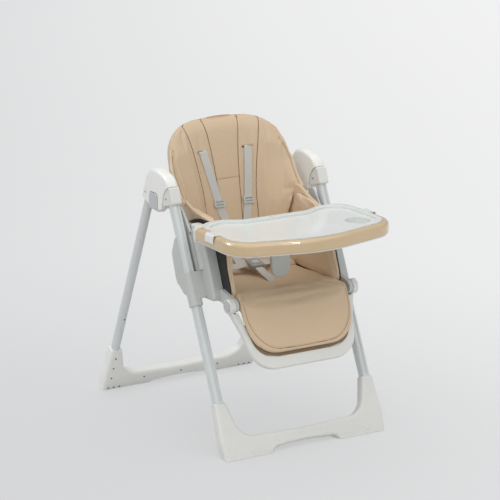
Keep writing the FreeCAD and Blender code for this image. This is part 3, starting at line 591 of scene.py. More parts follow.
def frames_along(path: np.ndarray, outward: np.ndarray) -> tuple[np.ndarray, np.ndarray, np.ndarray]:
    """Work out three square directions at each place of a path.

    Args:
        path: Positions.
        outward: Direction out of the surface at each one.

    Returns:
        The tangent, the outward direction made square to it, and their cross product.
    """
    along = np.gradient(path, axis=0)
    along /= np.linalg.norm(along, axis=1, keepdims=True)
    out = outward - along * np.sum(outward * along, axis=1, keepdims=True)
    out /= np.linalg.norm(out, axis=1, keepdims=True)
    return along, out, np.cross(along, out)


def swept(name: str, path: np.ndarray, outward: np.ndarray, profile: np.ndarray, look: Look) -> Piece:
    """Profile carried along a path and closed at both ends.

    Point (i, j) is path i plus profile j's first number times the direction across the path and its
    second number times the outward direction; each end closes with a fan to the path's end point.

    Args:
        name: Name of the piece.
        path: Positions along the middle of the piece.
        outward: Direction out of the surface at each position.
        profile: (across, out) corners of the section, turning from across to out.
        look: Finish of the piece.

    Returns:
        The object, with a "weave" map of (share round the profile, metres along).
    """
    _, out, across = frames_along(path, outward)
    points = path[:, None] + across[:, None] * profile[None, :, :1] + out[:, None] * profile[None, :, 1:]
    rows, columns = points.shape[:2]
    quads = grid_faces(rows, columns, closed_columns=True)
    ends = [rows * columns, rows * columns + 1]
    ring = np.arange(columns)
    following = (ring + 1) % columns
    first = np.stack([following, ring, np.full(columns, ends[0])], axis=1)
    base = (rows - 1) * columns
    last = np.stack([base + ring, base + following, np.full(columns, ends[1])], axis=1)
    flat = np.concatenate([points.reshape(-1, 3), path[:1], path[-1:]])
    mesh = mesh_of(name, flat, quads.tolist() + first.tolist() + last.tolist())
    travelled = lengths(path)
    span = profile[:, 0]
    share = (span - span.min()) / max(TINY, span.max() - span.min())
    chart = np.stack(np.broadcast_arrays(share[None, :], travelled[:, None]), axis=-1).reshape(-1, 2)
    chart = np.concatenate([chart, [[0.5, 0.0], [0.5, travelled[-1]]]])
    corners = np.zeros(len(mesh.loops), int)
    mesh.loops.foreach_get("vertex_index", corners)
    layer = mesh.uv_layers.new(name="weave")
    layer.data.foreach_set("uv", chart[corners].ravel())
    return add_piece(mesh, look)


def lengths(path: np.ndarray) -> np.ndarray:
    """Way travelled along a path to each of its places."""
    return np.concatenate([[0.0], np.cumsum(np.linalg.norm(np.diff(path, axis=0), axis=1))])


def at_lengths(path: np.ndarray, travelled: np.ndarray, wanted: np.ndarray) -> np.ndarray:
    """Places on a path at wanted lengths; travelled is the length at each given place."""
    return np.stack([np.interp(wanted, travelled, column) for column in path.T], axis=1)


def eased(share: np.ndarray) -> np.ndarray:
    """Smooth step of a share from 0 to 1: 3 s^2 - 2 s^3."""
    return share * share * (3 - 2 * share)


def ring_profile(radius: float, count: int = 10) -> np.ndarray:
    """Circle of (across, out) corners."""
    angle = np.linspace(0, math.tau, count, endpoint=False)
    return radius * np.stack([np.cos(angle), np.sin(angle)], axis=1)


def superellipse(count: int, power: float) -> tuple[np.ndarray, np.ndarray]:
    """Corners of an outline between a square and a circle: cos and sin raised to a power, signs kept."""
    angle = np.linspace(0, math.tau, count, endpoint=False)
    cos, sin = np.cos(angle), np.sin(angle)
    return np.sign(cos) * np.abs(cos) ** power, np.sign(sin) * np.abs(sin) ** power


def band_profile(width: float, thickness: float) -> np.ndarray:
    """Section of flat webbing: a thin oblong with rounded, slightly thicker selvedges.

    The outline is a superellipse, cos and sin raised to the power 0.35, so its edges are round and
    its faces flat; the thickness grows by 12 percent over the outer fifth at both edges.

    Args:
        width: Width across.
        thickness: Thickness in the middle.

    Returns:
        The (across, out) corners.
    """
    x, y = superellipse(36, 0.35)
    y *= 1 + 0.12 * np.clip(np.abs(x) * 5 - 4, 0, 1)
    return np.stack([x * width / 2, y * thickness / 2], axis=1)


def smooth_path(points: Sequence[Sequence[float]], spacing: float = 0.004) -> np.ndarray:
    """Evenly spaced points on a rounded curve through a few given points.

    The curve is a uniform Catmull-Rom one: each stretch is a cubic through its two points, and its
    slope at a point is half the step between that point's neighbours.

    Args:
        points: The given points, of any number of columns.
        spacing: Distance between the places made.

    Returns:
        The places, one row each.
    """
    given = np.array(points, float)
    padded = np.concatenate([[2 * given[0] - given[1]], given, [2 * given[-1] - given[-2]]])
    share = np.linspace(0, 1, 24, endpoint=False)[:, None]
    a, b, c, d = padded[:-3, None], padded[1:-2, None], padded[2:-1, None], padded[3:, None]
    curve = 0.5 * (2 * b + (c - a) * share + (2 * a - 5 * b + 4 * c - d) * share ** 2
                   + (3 * b - a - 3 * c + d) * share ** 3)
    dense = np.concatenate([curve.reshape(-1, given.shape[1]), given[-1:]])
    travelled = lengths(dense)
    wanted = np.linspace(0, travelled[-1], max(3, int(travelled[-1] / spacing)))
    return at_lengths(dense, travelled, wanted)


def read_corners(mesh: bpy.types.Mesh, kind: str = "co") -> np.ndarray:
    """Positions of a mesh's corners, or their outward directions where the kind is "normal"."""
    flat = np.zeros(len(mesh.vertices) * 3)
    mesh.vertices.foreach_get(kind, flat)
    return flat.reshape(-1, 3)


def read_points(piece: Piece) -> np.ndarray:
    """Corner positions of a piece."""
    return read_corners(piece.data)


def read_normals(piece: Piece) -> np.ndarray:
    """Outward direction at each corner of a piece."""
    return read_corners(piece.data, "normal")


def write_points(piece: Piece, points: np.ndarray) -> None:
    """Move the corners of a mesh."""
    piece.data.vertices.foreach_set("co", points.ravel())
    piece.data.update()


def store(piece: Piece, name: str, values: np.ndarray) -> None:
    """Keep a number on each point of a mesh."""
    layer = piece.data.attributes.get(name) or piece.data.attributes.new(name, "FLOAT", "POINT")
    layer.data.foreach_set("value", values.astype(np.float32))


def settle_modifiers(piece: Piece) -> None:
    """Replace a mesh by what its modifiers make of it, and drop them.

    Args:
        piece: The piece.
    """
    graph = bpy.context.evaluated_depsgraph_get()
    made = bpy.data.meshes.new_from_object(piece.evaluated_get(graph), depsgraph=graph)
    piece.modifiers.clear()
    old = piece.data
    piece.data = made
    bpy.data.meshes.remove(old)


def dress(piece: Piece, body: str, slot: str, *nodes: str) -> Piece:
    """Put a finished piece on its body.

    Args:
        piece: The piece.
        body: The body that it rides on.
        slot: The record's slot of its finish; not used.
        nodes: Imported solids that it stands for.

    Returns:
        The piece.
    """
    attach(piece, body)
    if nodes:
        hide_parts(*nodes)
    return piece


def nearest_on_path(points: np.ndarray, path: np.ndarray) -> tuple[np.ndarray, np.ndarray]:
    """Find the closest place on a path of straight steps.

    For each step the point is dropped onto the line and held between the step's ends.

    Args:
        points: Positions to measure from.
        path: Corners of the path.

    Returns:
        Each point's distance to the path, and the closest position on it.
    """
    best = np.full(len(points), np.inf)
    spot = np.zeros_like(points)
    for start, end in zip(path[:-1], path[1:]):
        run = end - start
        share = np.clip((points - start) @ run / max(TINY ** 2, run @ run), 0, 1)
        close = start + share[:, None] * run
        away = np.linalg.norm(points - close, axis=1)
        nearer = away < best
        best[nearer] = away[nearer]
        spot[nearer] = close[nearer]
    return best, spot


@dataclass(frozen=True)
class Leaning:
    """A part's own upright frame: x across, depth into its back, up along it."""

    y: float
    z: float
    lean: float

    def to_chair(self, points: Sequence[Sequence[float]]) -> np.ndarray:
        """Chair positions of (x, depth, up) rows: a turn by the lean about X, then a shift."""
        cos, sin = math.cos(math.radians(self.lean)), math.sin(math.radians(self.lean))
        x, depth, up = np.asarray(points, float).T
        return np.stack([x, self.y + depth * cos + up * sin, self.z - depth * sin + up * cos], axis=1)

    def from_chair(self, points: np.ndarray) -> np.ndarray:
        """The same turned back: (x, depth, up) rows of chair positions."""
        cos, sin = math.cos(math.radians(self.lean)), math.sin(math.radians(self.lean))
        x = points[:, 0]
        dy, dz = points[:, 1] - self.y, points[:, 2] - self.z
        return np.stack([x, dy * cos - dz * sin, dy * sin + dz * cos], axis=1)

    def inward(self) -> np.ndarray:
        """Direction from the sitter into the part."""
        return self.to_chair([[0, 1, 0]])[0] - self.to_chair([[0, 0, 0]])[0]

    def upward(self) -> np.ndarray:
        """Direction up along the part."""
        return self.to_chair([[0, 0, 1]])[0] - self.to_chair([[0, 0, 0]])[0]


def joint_place(name: str) -> Vector:
    """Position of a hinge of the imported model."""
    return Vector(next(joint["pos_m"] for joint in frame["joints"] if joint["name"] == name))


class Surface:
    """A finished mesh that seams, thread and webbing are laid on."""

    START = 0.2  # how far before its place a dropped point sets out

    def __init__(self, piece: Piece) -> None:
        """Index the faces of a piece."""
        self.tree = BVHTree.FromObject(piece, bpy.context.evaluated_depsgraph_get())

    def lay(self, path: np.ndarray, lift: float = 0.0) -> tuple[np.ndarray, np.ndarray]:
        """Find the nearest places on the surface to a path.

        Args:
            path: Positions near the surface.
            lift: Distance off the surface, along its normal.

        Returns:
            The lifted places, and the surface's normals there.
        """
        found = [self.tree.find_nearest(Vector(point)) for point in path]
        spots = np.array([spot[0] for spot in found])
        normals = np.array([spot[1] for spot in found])
        normals = soften_rows(normals, 3)
        normals /= np.linalg.norm(normals, axis=1, keepdims=True)
        return spots + normals * lift, normals

    def drop(self, path: np.ndarray, way: Sequence[float], lift: float = 0.0) -> np.ndarray:
        """Path moved along a direction until it meets the surface, then lifted off it.

        Args:
            path: Positions to move; each starts START metres before its place.
            way: Direction of the move.
            lift: Clearance kept along that direction.

        Returns:
            The positions met; one that meets nothing stays where it was.
        """
        heading = Vector(way).normalized()
        met = []
        for point in path:
            start = Vector(point) - heading * self.START
            hit = self.tree.ray_cast(start, heading)[0]
            met.append(Vector(point) if hit is None else hit - heading * lift)
        return np.array(met)


def soften_rows(rows: np.ndarray, passes: int) -> np.ndarray:
    """Rows averaged with their neighbours, ends kept."""
    result = rows.copy()
    for _ in range(passes):
        result[1:-1] = 0.25 * result[:-2] + 0.5 * result[1:-1] + 0.25 * result[2:]
    return result


# ------------------------------------------------------------------------------------ upholstery
class Sewn(Enum):
    """Kinds of seam: how deep and how wide each pulls the cover in, and how strong its painted shade is."""

    CHANNEL = (0.0019, 0.0024, 1.0)
    WAIST = (0.0010, 0.0022, 0.55)
    EDGE = (0.0012, 0.0020, 0.8)
    SLIT = (0.0080, 0.0026, 1.6)
    TUCK = (0.0014, 0.0018, 0.7)
    CALF_EDGE = (0.0016, 0.0022, 0.8)
    SEAT_FOLD = (0.0007, 0.0040, 0.28)


@dataclass(frozen=True)
class Seam:
    """A sewn line on a padded piece."""

    path: np.ndarray
    kind: Sewn


class Padding:
    """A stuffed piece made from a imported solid: remeshed, filled by a cloth run, then sewn."""

    PRESSURE = 4.0  # that swells a cover in the cloth run
    FRAMES = 20  # length of that run
    QUICK_SHARE = 0.55
    SNAP = 0.0013  # corners nearer to a seam than this slide onto it
    PAINTED_SHADE_SHARE = 0.55  # of a seam's width, as the width of its painted shade

    def __init__(self, name: str, nodes: Sequence[str], voxel: float = 0.005) -> None:
        """Copy the solids, merge their corners and remesh them evenly.

        Args:
            name: Name of the piece.
            nodes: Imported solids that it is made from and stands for.
            voxel: Size of the mesh's squares.
        """
        self.name = name
        self.nodes = list(nodes)
        self.piece = add_piece(merged_copy(name, nodes), Look.LEATHER)
        remesh = self.piece.modifiers.new("even", "REMESH")
        remesh.mode = "VOXEL"
        remesh.voxel_size = voxel
        remesh.use_smooth_shade = True
        settle_modifiers(self.piece)
        log.info("%s: %d corners after remeshing", name, len(self.piece.data.vertices))

    def relax(self, passes: int) -> None:
        """Round the edges by averaging neighbours."""
        smooth = self.piece.modifiers.new("relax", "SMOOTH")
        smooth.factor = 0.5
        smooth.iterations = passes
        settle_modifiers(self.piece)

    def inset(self, amount: float) -> None:
        """Draw the whole surface in, to leave the filling room to swell."""
        write_points(self.piece, read_points(self.piece) - read_normals(self.piece) * amount)

    def fill(self, held: np.ndarray, limit: float) -> None:
        """Args:
            held: Share from 0 to 1 by which each corner stays put.
            limit: Furthest that a corner may move.
        """
        before = read_points(self.piece)
        group = self.piece.vertex_groups.new(name="held")
        levels = np.round(held * 10) / 10
        for level in np.unique(levels[levels > 0]):
            group.add(np.flatnonzero(levels == level).tolist(), float(level), "REPLACE")
        cloth = self.piece.modifiers.new("fill", "CLOTH")
        cloth.settings.quality = 5
        cloth.settings.mass = 0.25
        cloth.settings.use_pressure = True
        cloth.settings.uniform_pressure_force = self.PRESSURE
        cloth.settings.effector_weights.gravity = 0
        cloth.settings.vertex_group_mass = "held"
        cloth.settings.pin_stiffness = 2.0
        cloth.settings.bending_stiffness = 2.0
        cloth.collision_settings.use_collision = False
        scene = bpy.context.scene
        for step in range(1, self.FRAMES + 1):
            scene.frame_set(step)
        graph = bpy.context.evaluated_depsgraph_get()
        swollen = read_corners(self.piece.evaluated_get(graph).to_mesh())
        self.piece.evaluated_get(graph).to_mesh_clear()
        self.piece.modifiers.clear()
        scene.frame_set(1)
        shift = swollen - before
        far = np.linalg.norm(shift, axis=1, keepdims=True)
        shift *= np.minimum(1.0, limit / np.maximum(far, TINY))
        write_points(self.piece, before + shift)
        log.info("%s: filled, moved up to %.1f mm", self.name, far.max() / MM)

    def subdivide(self) -> None:
        """One level of subdivision."""
        surface = self.piece.modifiers.new("finer", "SUBSURF")
        surface.levels = 1
        surface.render_levels = 1
        settle_modifiers(self.piece)
        self.piece.data.polygons.foreach_set("use_smooth", np.ones(len(self.piece.data.polygons), bool))

    def sew(self, seams: Sequence[Seam]) -> None:
        """Pull the surface in along seams and store at each corner how much painted seam shade it gets.

        A corner at distance d from a seam sinks by depth * exp(-(d / width)^2); the nearest corners
        slide onto the line first, so that it stays crisp.

        Args:
            seams: The seams of the piece.
        """
        points = read_points(self.piece)
        normals = read_normals(self.piece)
        painted_seam_darkening = np.zeros(len(points))
        for seam in seams:
            depth, width, mark = seam.kind.value
            away, spot = nearest_on_path(points, seam.path)
            near = away < self.SNAP
            slide = spot[near] - points[near]
            slide -= normals[near] * np.sum(slide * normals[near], axis=1, keepdims=True)
            points[near] += slide
            away[near] = 0.0
            fall = np.exp(-(away / width) ** 2)
            points -= normals * (depth * fall)[:, None]
            # painted shade: strongest on the seam line, by the kind's third number
            painted_seam_darkening = np.maximum(painted_seam_darkening, mark * np.exp(-(away / (width * self.PAINTED_SHADE_SHARE)) ** 2))
        write_points(self.piece, points)
        store(self.piece, "painted_seam_darkening", painted_seam_darkening)

    def place(self, body: str, fill: float) -> Piece:
        """Put the finished piece on its body in place of the solids.

        Args:
            body: The body that it rides on.
            fill: How full it is stuffed, from 0 to 1; not used.

        Returns:
            The piece.
        """
        dress(self.piece, body, "leatherette", *self.nodes)
        log.info("%s: %d faces on %s", self.name, len(self.piece.data.polygons), body)
        return self.piece


def painted_seam_shadow(name: str, surface: Surface, path: np.ndarray, radius: float = 0.0008,
             look: Look = Look.SEAM) -> Piece:
    """Painted shadow at the bottom of a seam: a hair-thin dark closed tube, three eighths of it sunk into the
    cover.
    """
    spots, normals = surface.lay(path, radius * 0.25)
    return swept(name, soften_rows(spots, 3), soften_rows(normals, 6), ring_profile(radius, 6), look)


class Stitches:
    """A row of thread stitches along a path on a surface."""

    LENGTH = 0.0034
    PITCH = 0.0046
    RADIUS = 0.00042
    LIFT = 0.0002  # of a stitch's middle over the cover
    DIP = 0.0005  # of its ends below its middle
    STATIONS = 7
    RING = 6

    @classmethod
    def along(cls, name: str, surface: Surface, path: np.ndarray) -> Piece:
        """Small spindles, one a stitch, computed as one array.

        Each is a ring of corners at some stations t from -1 to 1, whose radius follows sqrt(1 - t^2)
        and whose depth follows t^2, so that its ends dip into the cover.

        Args:
            name: Name of the row.
            surface: What it is sewn through.
            path: Line of the row.

        Returns:
            The row as one piece.
        """
        travelled = lengths(path)
        count = max(2, int(travelled[-1] / cls.PITCH))
        even = at_lengths(path, travelled, np.linspace(0, travelled[-1], count))
        spots, normals = surface.lay(even, cls.LIFT)
        along, out, across = frames_along(spots, normals)
        t = np.linspace(-1, 1, cls.STATIONS)
        radius = cls.RADIUS * np.sqrt(np.clip(1 - t ** 2, 0.02, 1))
        angle = np.linspace(0, math.tau, cls.RING, endpoint=False)
        lengthwise = along[:, None, None] * (t * cls.LENGTH / 2)[None, :, None, None]
        dip = out[:, None, None] * (-cls.DIP * t ** 2)[None, :, None, None]
        sideways = across[:, None, None] * (radius[:, None] * np.cos(angle))[None, :, :, None]
        upwards = out[:, None, None] * (radius[:, None] * np.sin(angle))[None, :, :, None]
        points = spots[:, None, None] + lengthwise + dip + sideways + upwards
        one = grid_faces(cls.STATIONS, cls.RING, closed_columns=True)
        quads = one[None] + (np.arange(count) * cls.STATIONS * cls.RING)[:, None, None]
        return add_piece(mesh_of(name, points, quads.reshape(-1, 4).tolist()), Look.THREAD)


@dataclass
class BackCushion:
    """Bucket-shaped back pad with fanned channels, a waist seam, strap slits and a piped rim."""

    out: Leaning
    length: float = 0.472
    half: float = 0.214
    taper: float = 0.026
    front: float = -0.130
    thickness: float = 0.156
    round: float = 0.102
    slit_height: float = 0.363
    slit_x: float = 0.079
    slit_width: float = 0.030
    painted_slit_shadow_radius: float = 0.0013
    piping_radius: float = 0.0019
    piping_inset: float = 0.004
    edge_seam_inset: float = 0.012
    swell: float = 0.006
    cup: float = 0.013
    thinning: float = 0.62

    # each channel is (x at the top, at the middle, at the hips) for the right-hand side
    outer_channel: tuple[float, float, float] = (0.133, 0.108, 0.088)
    inner_channel: tuple[float, float, float] = (0.060, 0.043, 0.034)
    waist_height: float = 0.277
    rim_heights: tuple[float, float] = (0.216, 0.400)

    # the front edge of a wing, seen from the side, as heights and depths
    crest_heights: tuple[float, ...] = (0.200, 0.213, 0.318, 0.360, 0.408, 0.468)
    crest_depths: tuple[float, ...] = (-0.108, -0.108, -0.064, -0.040, -0.013, 0.001)

    # how far a wing is drawn back towards the middle of the pad, and spread, at some heights
    draw_heights: tuple[float, ...] = (0.19, 0.23, 0.318, 0.360, 0.410, 0.450)
    draw_shares: tuple[float, ...] = (0.90, 0.82, 0.62, 0.64, 0.85, 1.0)
    spreads: tuple[float, ...] = (0.000, 0.004, 0.012, 0.008, 0.004, 0.0)

    def crest(self, height: np.ndarray) -> np.ndarray:
        """Depth of a wing's front edge at a height."""
        return np.interp(height, self.crest_heights, self.crest_depths)

    def wall(self, depth: np.ndarray) -> np.ndarray:
        """Half width over the wings: it narrows in a straight line from the front to the rear."""
        return self.half - self.taper * (depth - self.front) / self.thickness

    def across(self, surface: Surface, x: tuple[float, float], height: float, count: int) -> np.ndarray:
        """Line on the cushion from one x to another at a height up the back, as so many places."""
        line = np.stack([np.linspace(*x, count), np.zeros(count), np.full(count, height)], axis=1)
        return surface.drop(self.out.to_chair(line), self.out.inward())

    def channel(self, kind: tuple[float, float, float], side: int, surface: Surface) -> np.ndarray:
        """Sewn channel from the top edge to the hips.

        Args:
            kind: Its x at the top, at the middle and at the hips.
            side: -1 for the left, 1 for the right.
            surface: The cushion.

        Returns:
            Its line on the cushion.
        """
        top, middle, low = kind
        route = ((top + 0.002, self.length - 0.003), (top, self.length - 0.022), (middle + 0.004, 0.36),
                 (low + 0.004, 0.23), (low, 0.06))
        rough = smooth_path([(side * x, 0, height) for x, height in route])
        return surface.drop(self.out.to_chair(rough), self.out.inward())

    def drawn(self, local: np.ndarray) -> np.ndarray:
        """Places after the wings are drawn back and spread.

        A depth in front of the back is multiplied by the share for its height, and the distance from
        the middle grows by the spread for its height times how far forward the place is.

        Args:
            local: (x, depth, up) rows in the back's own frame.

        Returns:
            The same rows, moved.
        """
        x, depth, v = local.T
        forward = np.clip((0.026 - depth) / (0.026 - self.crest(v) * 0.9), 0, 1)
        wide = np.clip((np.abs(x) - 0.12) / 0.06, 0, 1)
        x_new = x + np.sign(x) * np.interp(v, self.draw_heights, self.spreads) * forward * wide
        share = np.interp(v, self.draw_heights, self.draw_shares)
        depth_new = np.where(depth < 0, depth * share, depth)
        return np.stack([x_new, depth_new, v], axis=1)

    def rim(self, surface: Surface, side: int, inset: float) -> np.ndarray:
        """Line up the front edge of one wing, an equal distance inside the wall.

        Args:
            surface: The cushion.
            side: -1 for the left, 1 for the right.
            inset: Distance inside the wing's outer wall.

        Returns:
            The line.
        """
        v = np.linspace(*self.rim_heights, 24)
        straight = self.length - 0.016 - self.round
        drop = np.clip(v - straight, 0, None)
        corner = self.round - np.sqrt(self.round ** 2 - drop ** 2)
        depth = self.crest(v)
        local = np.stack([side * (self.wall(depth) - corner - inset), depth, v], axis=1)
        spots, _ = surface.lay(self.out.to_chair(self.drawn(local)))
        return soften_rows(smooth_path(spots[::3]), 10)

    def beside(self, line: np.ndarray) -> np.ndarray:
        """The line moved 3 mm towards the middle of the back."""
        local = self.out.from_chair(line)
        local[:, 0] -= np.sign(local[:, 0]) * 0.003
        return self.out.to_chair(local)

    def shape(self, pad: Padding) -> None:
        """Thin the wings towards their front edges and cup the back between them.

        Across a wing the distance u from its outer wall shrinks by thinning * share * u *
        exp(-(u / 0.055)^2), where share is a smooth step of how near the front edge is.  The lap of
        the back comes forward by cup between the outer channels and the wings, and the top edge
        leans back a little at the middle.

        Args:
            pad: The cushion, not filled yet.
        """
        local = self.out.from_chair(read_points(pad.piece))
        x, depth, v = local.T
        share = np.clip(-depth / np.maximum(0.012, -self.crest(v)), 0, 1)
        share = eased(share) * np.clip((v - 0.19) / 0.03, 0, 1)
        away = np.clip(self.wall(depth) - np.abs(x), 0, None)
        away_new = away - self.thinning * share * away * np.exp(-(away / 0.055) ** 2)
        x_new = np.sign(x) * (np.abs(x) + away - away_new)
        front = np.clip((0.016 - depth) / 0.012, 0, 1)
        span = eased(np.clip((np.abs(x) - 0.078) / 0.036, 0, 1)) * np.clip((0.178 - np.abs(x)) / 0.04, 0, 1)
        tall = np.clip((v - 0.05) / 0.09, 0, 1) * np.clip((0.455 - v) / 0.08, 0, 1)
        curl = np.clip((v - 0.418) / 0.052, 0, 1) ** 2
        depth_new = depth - front * self.cup * span * tall + front * 0.019 * curl
        made = self.drawn(np.stack([x_new, depth_new, v], axis=1))
        write_points(pad.piece, self.out.to_chair(made))

    def hold(self, pad: Padding, lines: Sequence[np.ndarray]) -> np.ndarray:
        """Share by which each corner stays put: all at the rear and the foot, most along the sewn lines.

        Args:
            pad: The cushion, not filled yet.
            lines: The channels and the waist seam.

        Returns:
            A share from 0 to 1 for each corner.
        """
        points = read_points(pad.piece)
        local = self.out.from_chair(points)
        held = np.clip((local[:, 1] - 0.012) / 0.010, 0, 1)
        held = np.maximum(held, np.clip((0.04 - local[:, 2]) / 0.03, 0, 1))
        for path in lines:
            away, _ = nearest_on_path(points, path)
            held = np.maximum(held, 0.75 * np.exp(-(away / 0.009) ** 2))
        return held

    def build(self) -> tuple[Piece, list[Piece]]:
        """Make the cushion.

        Returns:
            The cushion and the sewn details that go with it.
        """
        pad = Padding("back_cushion_cover", ["back_cushion"], 0.0045)
        self.shape(pad)
        pad.relax(9)
        pad.inset(0.001)
        surface = Surface(pad.piece)
        channels = [self.channel(kind, side, surface) for side in SIDES.values()
                    for kind in (self.outer_channel, self.inner_channel)]
        waist_x = self.inner_channel[2] + 0.005
        waist = self.across(surface, (-waist_x, waist_x), self.waist_height, 20)
        pad.fill(self.hold(pad, channels + [waist]), self.swell)
        pad.subdivide()
        surface = Surface(pad.piece)
        welts = {label: self.rim(surface, side, self.piping_inset) for label, side in SIDES.items()}
        inner = {label: self.rim(surface, side, self.edge_seam_inset) for label, side in SIDES.items()}
        seams = [Seam(surface.lay(path)[0], Sewn.CHANNEL) for path in channels]
        seams.append(Seam(surface.lay(waist)[0], Sewn.WAIST))
        seams += [Seam(path, Sewn.EDGE) for path in inner.values()]
        slits = {}
        for label, side in SIDES.items():
            ends = (side * self.slit_x - self.slit_width / 2, side * self.slit_x + self.slit_width / 2)
            slits[label] = self.across(surface, ends, self.slit_height + 0.002, 12)
            seams.append(Seam(slits[label], Sewn.SLIT))
            tuck = self.across(surface, (side * 0.088, side * 0.098), 0.302, 6)
            seams.append(Seam(tuck, Sewn.TUCK))
        pad.sew(seams)
        piece = pad.place("backrest", 0.6)
        surface = Surface(piece)
        # painted shadow: a dark tube laid in each channel seam
        details = [painted_seam_shadow("back_channel_painted_shadow_%d" % number, surface, path)
                   for number, path in enumerate(channels)]
        # painted shadow: a dark tube just above each strap slit
        for label, slit in slits.items():
            above = self.out.from_chair(slit) + (0, 0, 0.0014)
            spots = surface.drop(self.out.to_chair(above), self.out.inward())
            outward = np.tile(-self.out.inward(), (len(spots), 1))
            gap = ring_profile(self.painted_slit_shadow_radius, 8)
            details.append(swept("back_slit_" + label, spots, outward, gap, Look.SLIT))
        # painted shadow, softer, along the waist seam
        details.append(painted_seam_shadow("back_waist_painted_shadow", surface, waist, 0.0005, Look.SHADOW_LINE_SOFT))
        for label in SIDES:
            spots, normals = surface.lay(welts[label], 0.0002)
            cord = ring_profile(self.piping_radius)
            details.append(swept("back_piping_" + label, spots, soften_rows(normals, 10), cord, Look.HIGHLIT_WELT))
            # painted shadow along each wing's edge seam
            details.append(painted_seam_shadow("back_edge_gap_" + label, surface, inner[label], 0.0006, Look.SHADOW_LINE_SOFT))
            details.append(Stitches.along("back_stitches_" + label, surface, self.beside(inner[label])))
        return piece, details


@dataclass
class SeatCover:
    """Seat pad and calf pad in one cover, shaped over the leg rest's hinge.

    Lines on the calf pad are looked for from the depth "before", in front of it.
    """

    hinge: Leaning
    swell: float = 0.0065
    welt: float = 0.0085
    calf_half: float = 0.186
    calf_length: float = 0.162
    before: float = -0.024
    stitch_inset: float = 0.003
    painted_edge_shadow_radius: float = 0.0006

    def calf_line(self, inset: float, lift: float) -> np.ndarray:
        """U-shaped line round the calf pad.

        Args:
            inset: Distance inside the pad's outline.
            lift: Depth of the line; less than 0 is in front of the pad.

        Returns:
            The line.
        """
        half = self.calf_half - inset
        low = -self.calf_length + inset
        side = [(half, lift, -0.004), (half, lift, -0.040), (half - 0.004, lift, -0.068),
                (half - 0.018, lift, low + 0.052), (half - 0.046, lift, low + 0.020),
                (half - 0.086, lift, low + 0.003)]
        loop = side + [(0.0, lift, low)] + [(-x, y, z) for x, y, z in reversed(side)]
        return self.hinge.to_chair(smooth_path(loop))

    def build(self) -> tuple[Piece, list[Piece]]:
        """Make the cover.

        Returns:
            The cover and its edge details.
        """
        pad = Padding("seat_and_calf_cover", ["seat_cushion", "calf_cushion"])
        pad.relax(6)
        pad.inset(0.0015)
        points = read_points(pad.piece)
        local = self.hinge.from_chair(points)
        normals = read_normals(pad.piece)
        held = np.clip(-normals[:, 2] * 2 - 0.4, 0, 1)
        calf = local[:, 2] < -0.012
        held = np.where(calf, np.clip((local[:, 1] + 0.006) / 0.004, 0, 1), held)
        welt, _ = nearest_on_path(points, self.calf_line(self.welt, -0.020))
        held = np.maximum(held, 0.85 * np.exp(-(welt / 0.006) ** 2))
        pad.fill(held, self.swell)
        pad.subdivide()
        surface = Surface(pad.piece)
        line, _ = surface.lay(self.calf_line(self.welt, self.before))
        across = np.linspace(-0.05, 0.180, 40)
        fold = np.stack([across, np.full(40, self.hinge.y + 0.012), np.full(40, 0.60)], axis=1)
        fold = surface.drop(fold, (0, 0, -1))
        pad.sew([Seam(soften_rows(line, 4), Sewn.CALF_EDGE), Seam(fold, Sewn.SEAT_FOLD)])
        piece = pad.piece
        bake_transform(piece)
        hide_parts("seat_cushion", "calf_cushion")
        surface = Surface(piece)
        edge = soften_rows(line, 4)
        # painted shadow along the calf pad's edge seam
        details = [painted_seam_shadow("calf_edge_painted_shadow", surface, edge, self.painted_edge_shadow_radius, Look.SHADOW_LINE_SOFT)]
        inside, _ = surface.lay(self.calf_line(self.welt + self.stitch_inset, self.before))
        details.append(Stitches.along("calf_stitches", surface, soften_rows(inside, 4)))
        return piece, details


@dataclass
class WingCushion:
    """Side wing of the seat bucket."""

    label: str
    swell: float = 0.006
    foot_height: float = 0.024
    foot_down: float = 0.010
    foot_in: float = 0.006

    def build(self) -> Piece:
        """Make one wing, whose foot is drawn down and in to meet the seat pad.

        Returns:
            The wing.
        """
        side = SIDES[self.label]
        node = "wing_cushion_" + self.label
        pad = Padding("wing_cover_" + self.label, [node], 0.004)
        pad.relax(4)
        low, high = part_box(node)
        wall = high.x if side > 0 else -low.x
        points = read_points(pad.piece)
        held = np.clip((side * points[:, 0] - (wall - 0.004)) / 0.003, 0, 1)
        pad.fill(held, self.swell)
        points = read_points(pad.piece)
        foot = np.clip((low.z + self.foot_height - points[:, 2]) / self.foot_height, 0, 1)
        inner = np.clip((wall - 0.003 - side * points[:, 0]) / 0.006, 0, 1)
        points[:, 2] -= self.foot_down * foot
        points[:, 0] -= side * self.foot_in * foot * inner
        points[:, 0] = side * np.minimum(side * points[:, 0], wall - 0.0003)
        write_points(pad.piece, points)
        pad.subdivide()
        pad.sew([])
        return pad.place("seat_carriage", 0.6)


